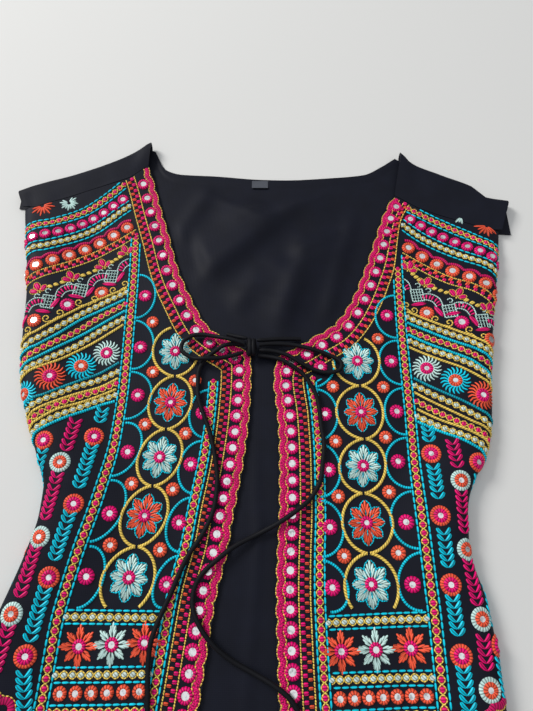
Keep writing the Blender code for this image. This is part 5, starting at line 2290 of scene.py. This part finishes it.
class WAISTCOAT_OT_neckline(bpy.types.Operator):
    """Embroider the scalloped edge, its mirrors and its bricks on both fronts"""

    bl_idname = "waistcoat.neckline"
    bl_label = "Neckline embroidery"

    def execute(self, context):
        for side in SIDES:
            nodes = ("scallop_" + side, "rosettes_" + side)
            piece = add_embroidery("neckline_stitches_" + side, side, neckline_work, nodes)
        return {"FINISHED"}


class WAISTCOAT_OT_borders(bpy.types.Operator):
    """Embroider the borders on both sides of each middle panel"""

    bl_idname = "waistcoat.borders"
    bl_label = "Border embroidery"

    def execute(self, context):
        for side in SIDES:
            piece = add_embroidery("border_stitches_" + side, side, border_work, ())
        return {"FINISHED"}


class WAISTCOAT_OT_shoulders(bpy.types.Operator):
    """Embroider the slanting shoulder bands and the figures between them"""

    bl_idname = "waistcoat.shoulders"
    bl_label = "Shoulder embroidery"

    def execute(self, context):
        for side in SIDES:
            piece = add_embroidery("shoulder_stitches_" + side, side, shoulder_work, ())
        return {"FINISHED"}


class WAISTCOAT_OT_panels(bpy.types.Operator):
    """Embroider the ovals, flowers and half rounds of each middle panel"""

    bl_idname = "waistcoat.panels"
    bl_label = "Panel embroidery"

    def execute(self, context):
        for side in SIDES:
            nodes = ["oval_%s_%d" % (side, n + 1) for n in range(len(OVALS[side]))]
            nodes += ["flower_%s_%d" % (side, n + 1) for n in range(len(OVALS[side]))]
            nodes += ["hem_flower_%s_%d" % (side, n + 1) for n in range(len(LOWER_FLOWERS[side]))]
            piece = add_embroidery("panel_stitches_" + side, side, panel_work, nodes)
        return {"FINISHED"}


class WAISTCOAT_OT_vines(bpy.types.Operator):
    """Embroider the vines and the corner band of each side panel"""

    bl_idname = "waistcoat.vines"
    bl_label = "Vine embroidery"

    def execute(self, context):
        for side in SIDES:
            piece = add_embroidery("vine_stitches_" + side, side, vine_work, ())
        return {"FINISHED"}


class WAISTCOAT_OT_cloth(bpy.types.Operator):
    """Make the plain back, both fronts and the size tab"""

    bl_idname = "waistcoat.cloth"
    bl_label = "Cloth"

    def execute(self, context):
        tab = label_tab()
        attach(tab, "root")
        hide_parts("label_tab")
        back, area = back_shell()
        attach(back, "root")
        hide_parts("back_panel")
        for side, flat in (("left", (0.216, 0.483)), ("right", (0.232, 0.451))):
            front, area = front_shell(side)
            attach(front, "root")
            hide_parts("front_" + side)
        return {"FINISHED"}


class WAISTCOAT_OT_tie(bpy.types.Operator):
    """Make the knotted tie, with its loops and free ends"""

    bl_idname = "waistcoat.tie"
    bl_label = "Tie"

    def execute(self, context):
        diameter = context.scene.waistcoat.cord_diameter
        knot = tie_knot()
        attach(knot, "root")
        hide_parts("tie_knot")
        made = {}
        for name, route in TIE_ROUTES.items():
            piece, length = tie_cord(name.replace("tie_", "cord_"), route, diameter / MM)
            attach(piece, "root")
            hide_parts(name)
            made[name] = (piece, length * MM)
        for name, (piece, length) in made.items():
            if name == "tie_lead_left":
                continue
        return {"FINISHED"}


class WAISTCOAT_OT_stage(bpy.types.Operator):
    """Set the floor, the light and the camera"""

    bl_idname = "waistcoat.stage"
    bl_label = "Stage"

    def execute(self, context):
        settings = context.scene.waistcoat
        context.scene.view_settings.view_transform = "Standard"
        make_world(settings.room_brightness)
        main = make_lamp("window_lamp", (-1.9, 1.4, 1.7), (0.0, 0.0, 0.0), 1.0,
                         settings.lamp_power, (1.0, 0.985, 0.96))
        make_floor()
        make_camera()
        return {"FINISHED"}


class WAISTCOAT_PT_pieces(bpy.types.Panel):
    """Buttons and settings of the waistcoat"""

    bl_idname = "WAISTCOAT_PT_pieces"
    bl_label = "Waistcoat"
    bl_space_type = "VIEW_3D"
    bl_region_type = "UI"
    bl_category = "Waistcoat"

    def draw(self, context):
        column = self.layout.column()
        for name in WaistcoatSettings.__annotations__:
            column.prop(context.scene.waistcoat, name)
        for operator in OPERATORS:
            column.operator(operator.bl_idname)


OPERATORS = (
    WAISTCOAT_OT_neckline,
    WAISTCOAT_OT_borders,
    WAISTCOAT_OT_shoulders,
    WAISTCOAT_OT_panels,
    WAISTCOAT_OT_vines,
    WAISTCOAT_OT_cloth,
    WAISTCOAT_OT_tie,
    WAISTCOAT_OT_stage,
)
CLASSES = (WaistcoatSettings,) + OPERATORS + (WAISTCOAT_PT_pieces,)


def register():
    """Register the add-on's classes and settings."""
    for one in CLASSES:
        bpy.utils.register_class(one)
    bpy.types.Scene.waistcoat = bpy.props.PointerProperty(type=WaistcoatSettings)


def unregister():
    """Remove the add-on's settings and classes."""
    del bpy.types.Scene.waistcoat
    for one in reversed(CLASSES):
        bpy.utils.unregister_class(one)


def main():
    """Register the add-on and build every piece."""
    register()
    for operator in OPERATORS:
        group, name = operator.bl_idname.split(".")
        getattr(getattr(bpy.ops, group), name)()
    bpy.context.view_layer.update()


if __name__ == "__main__":
    main()
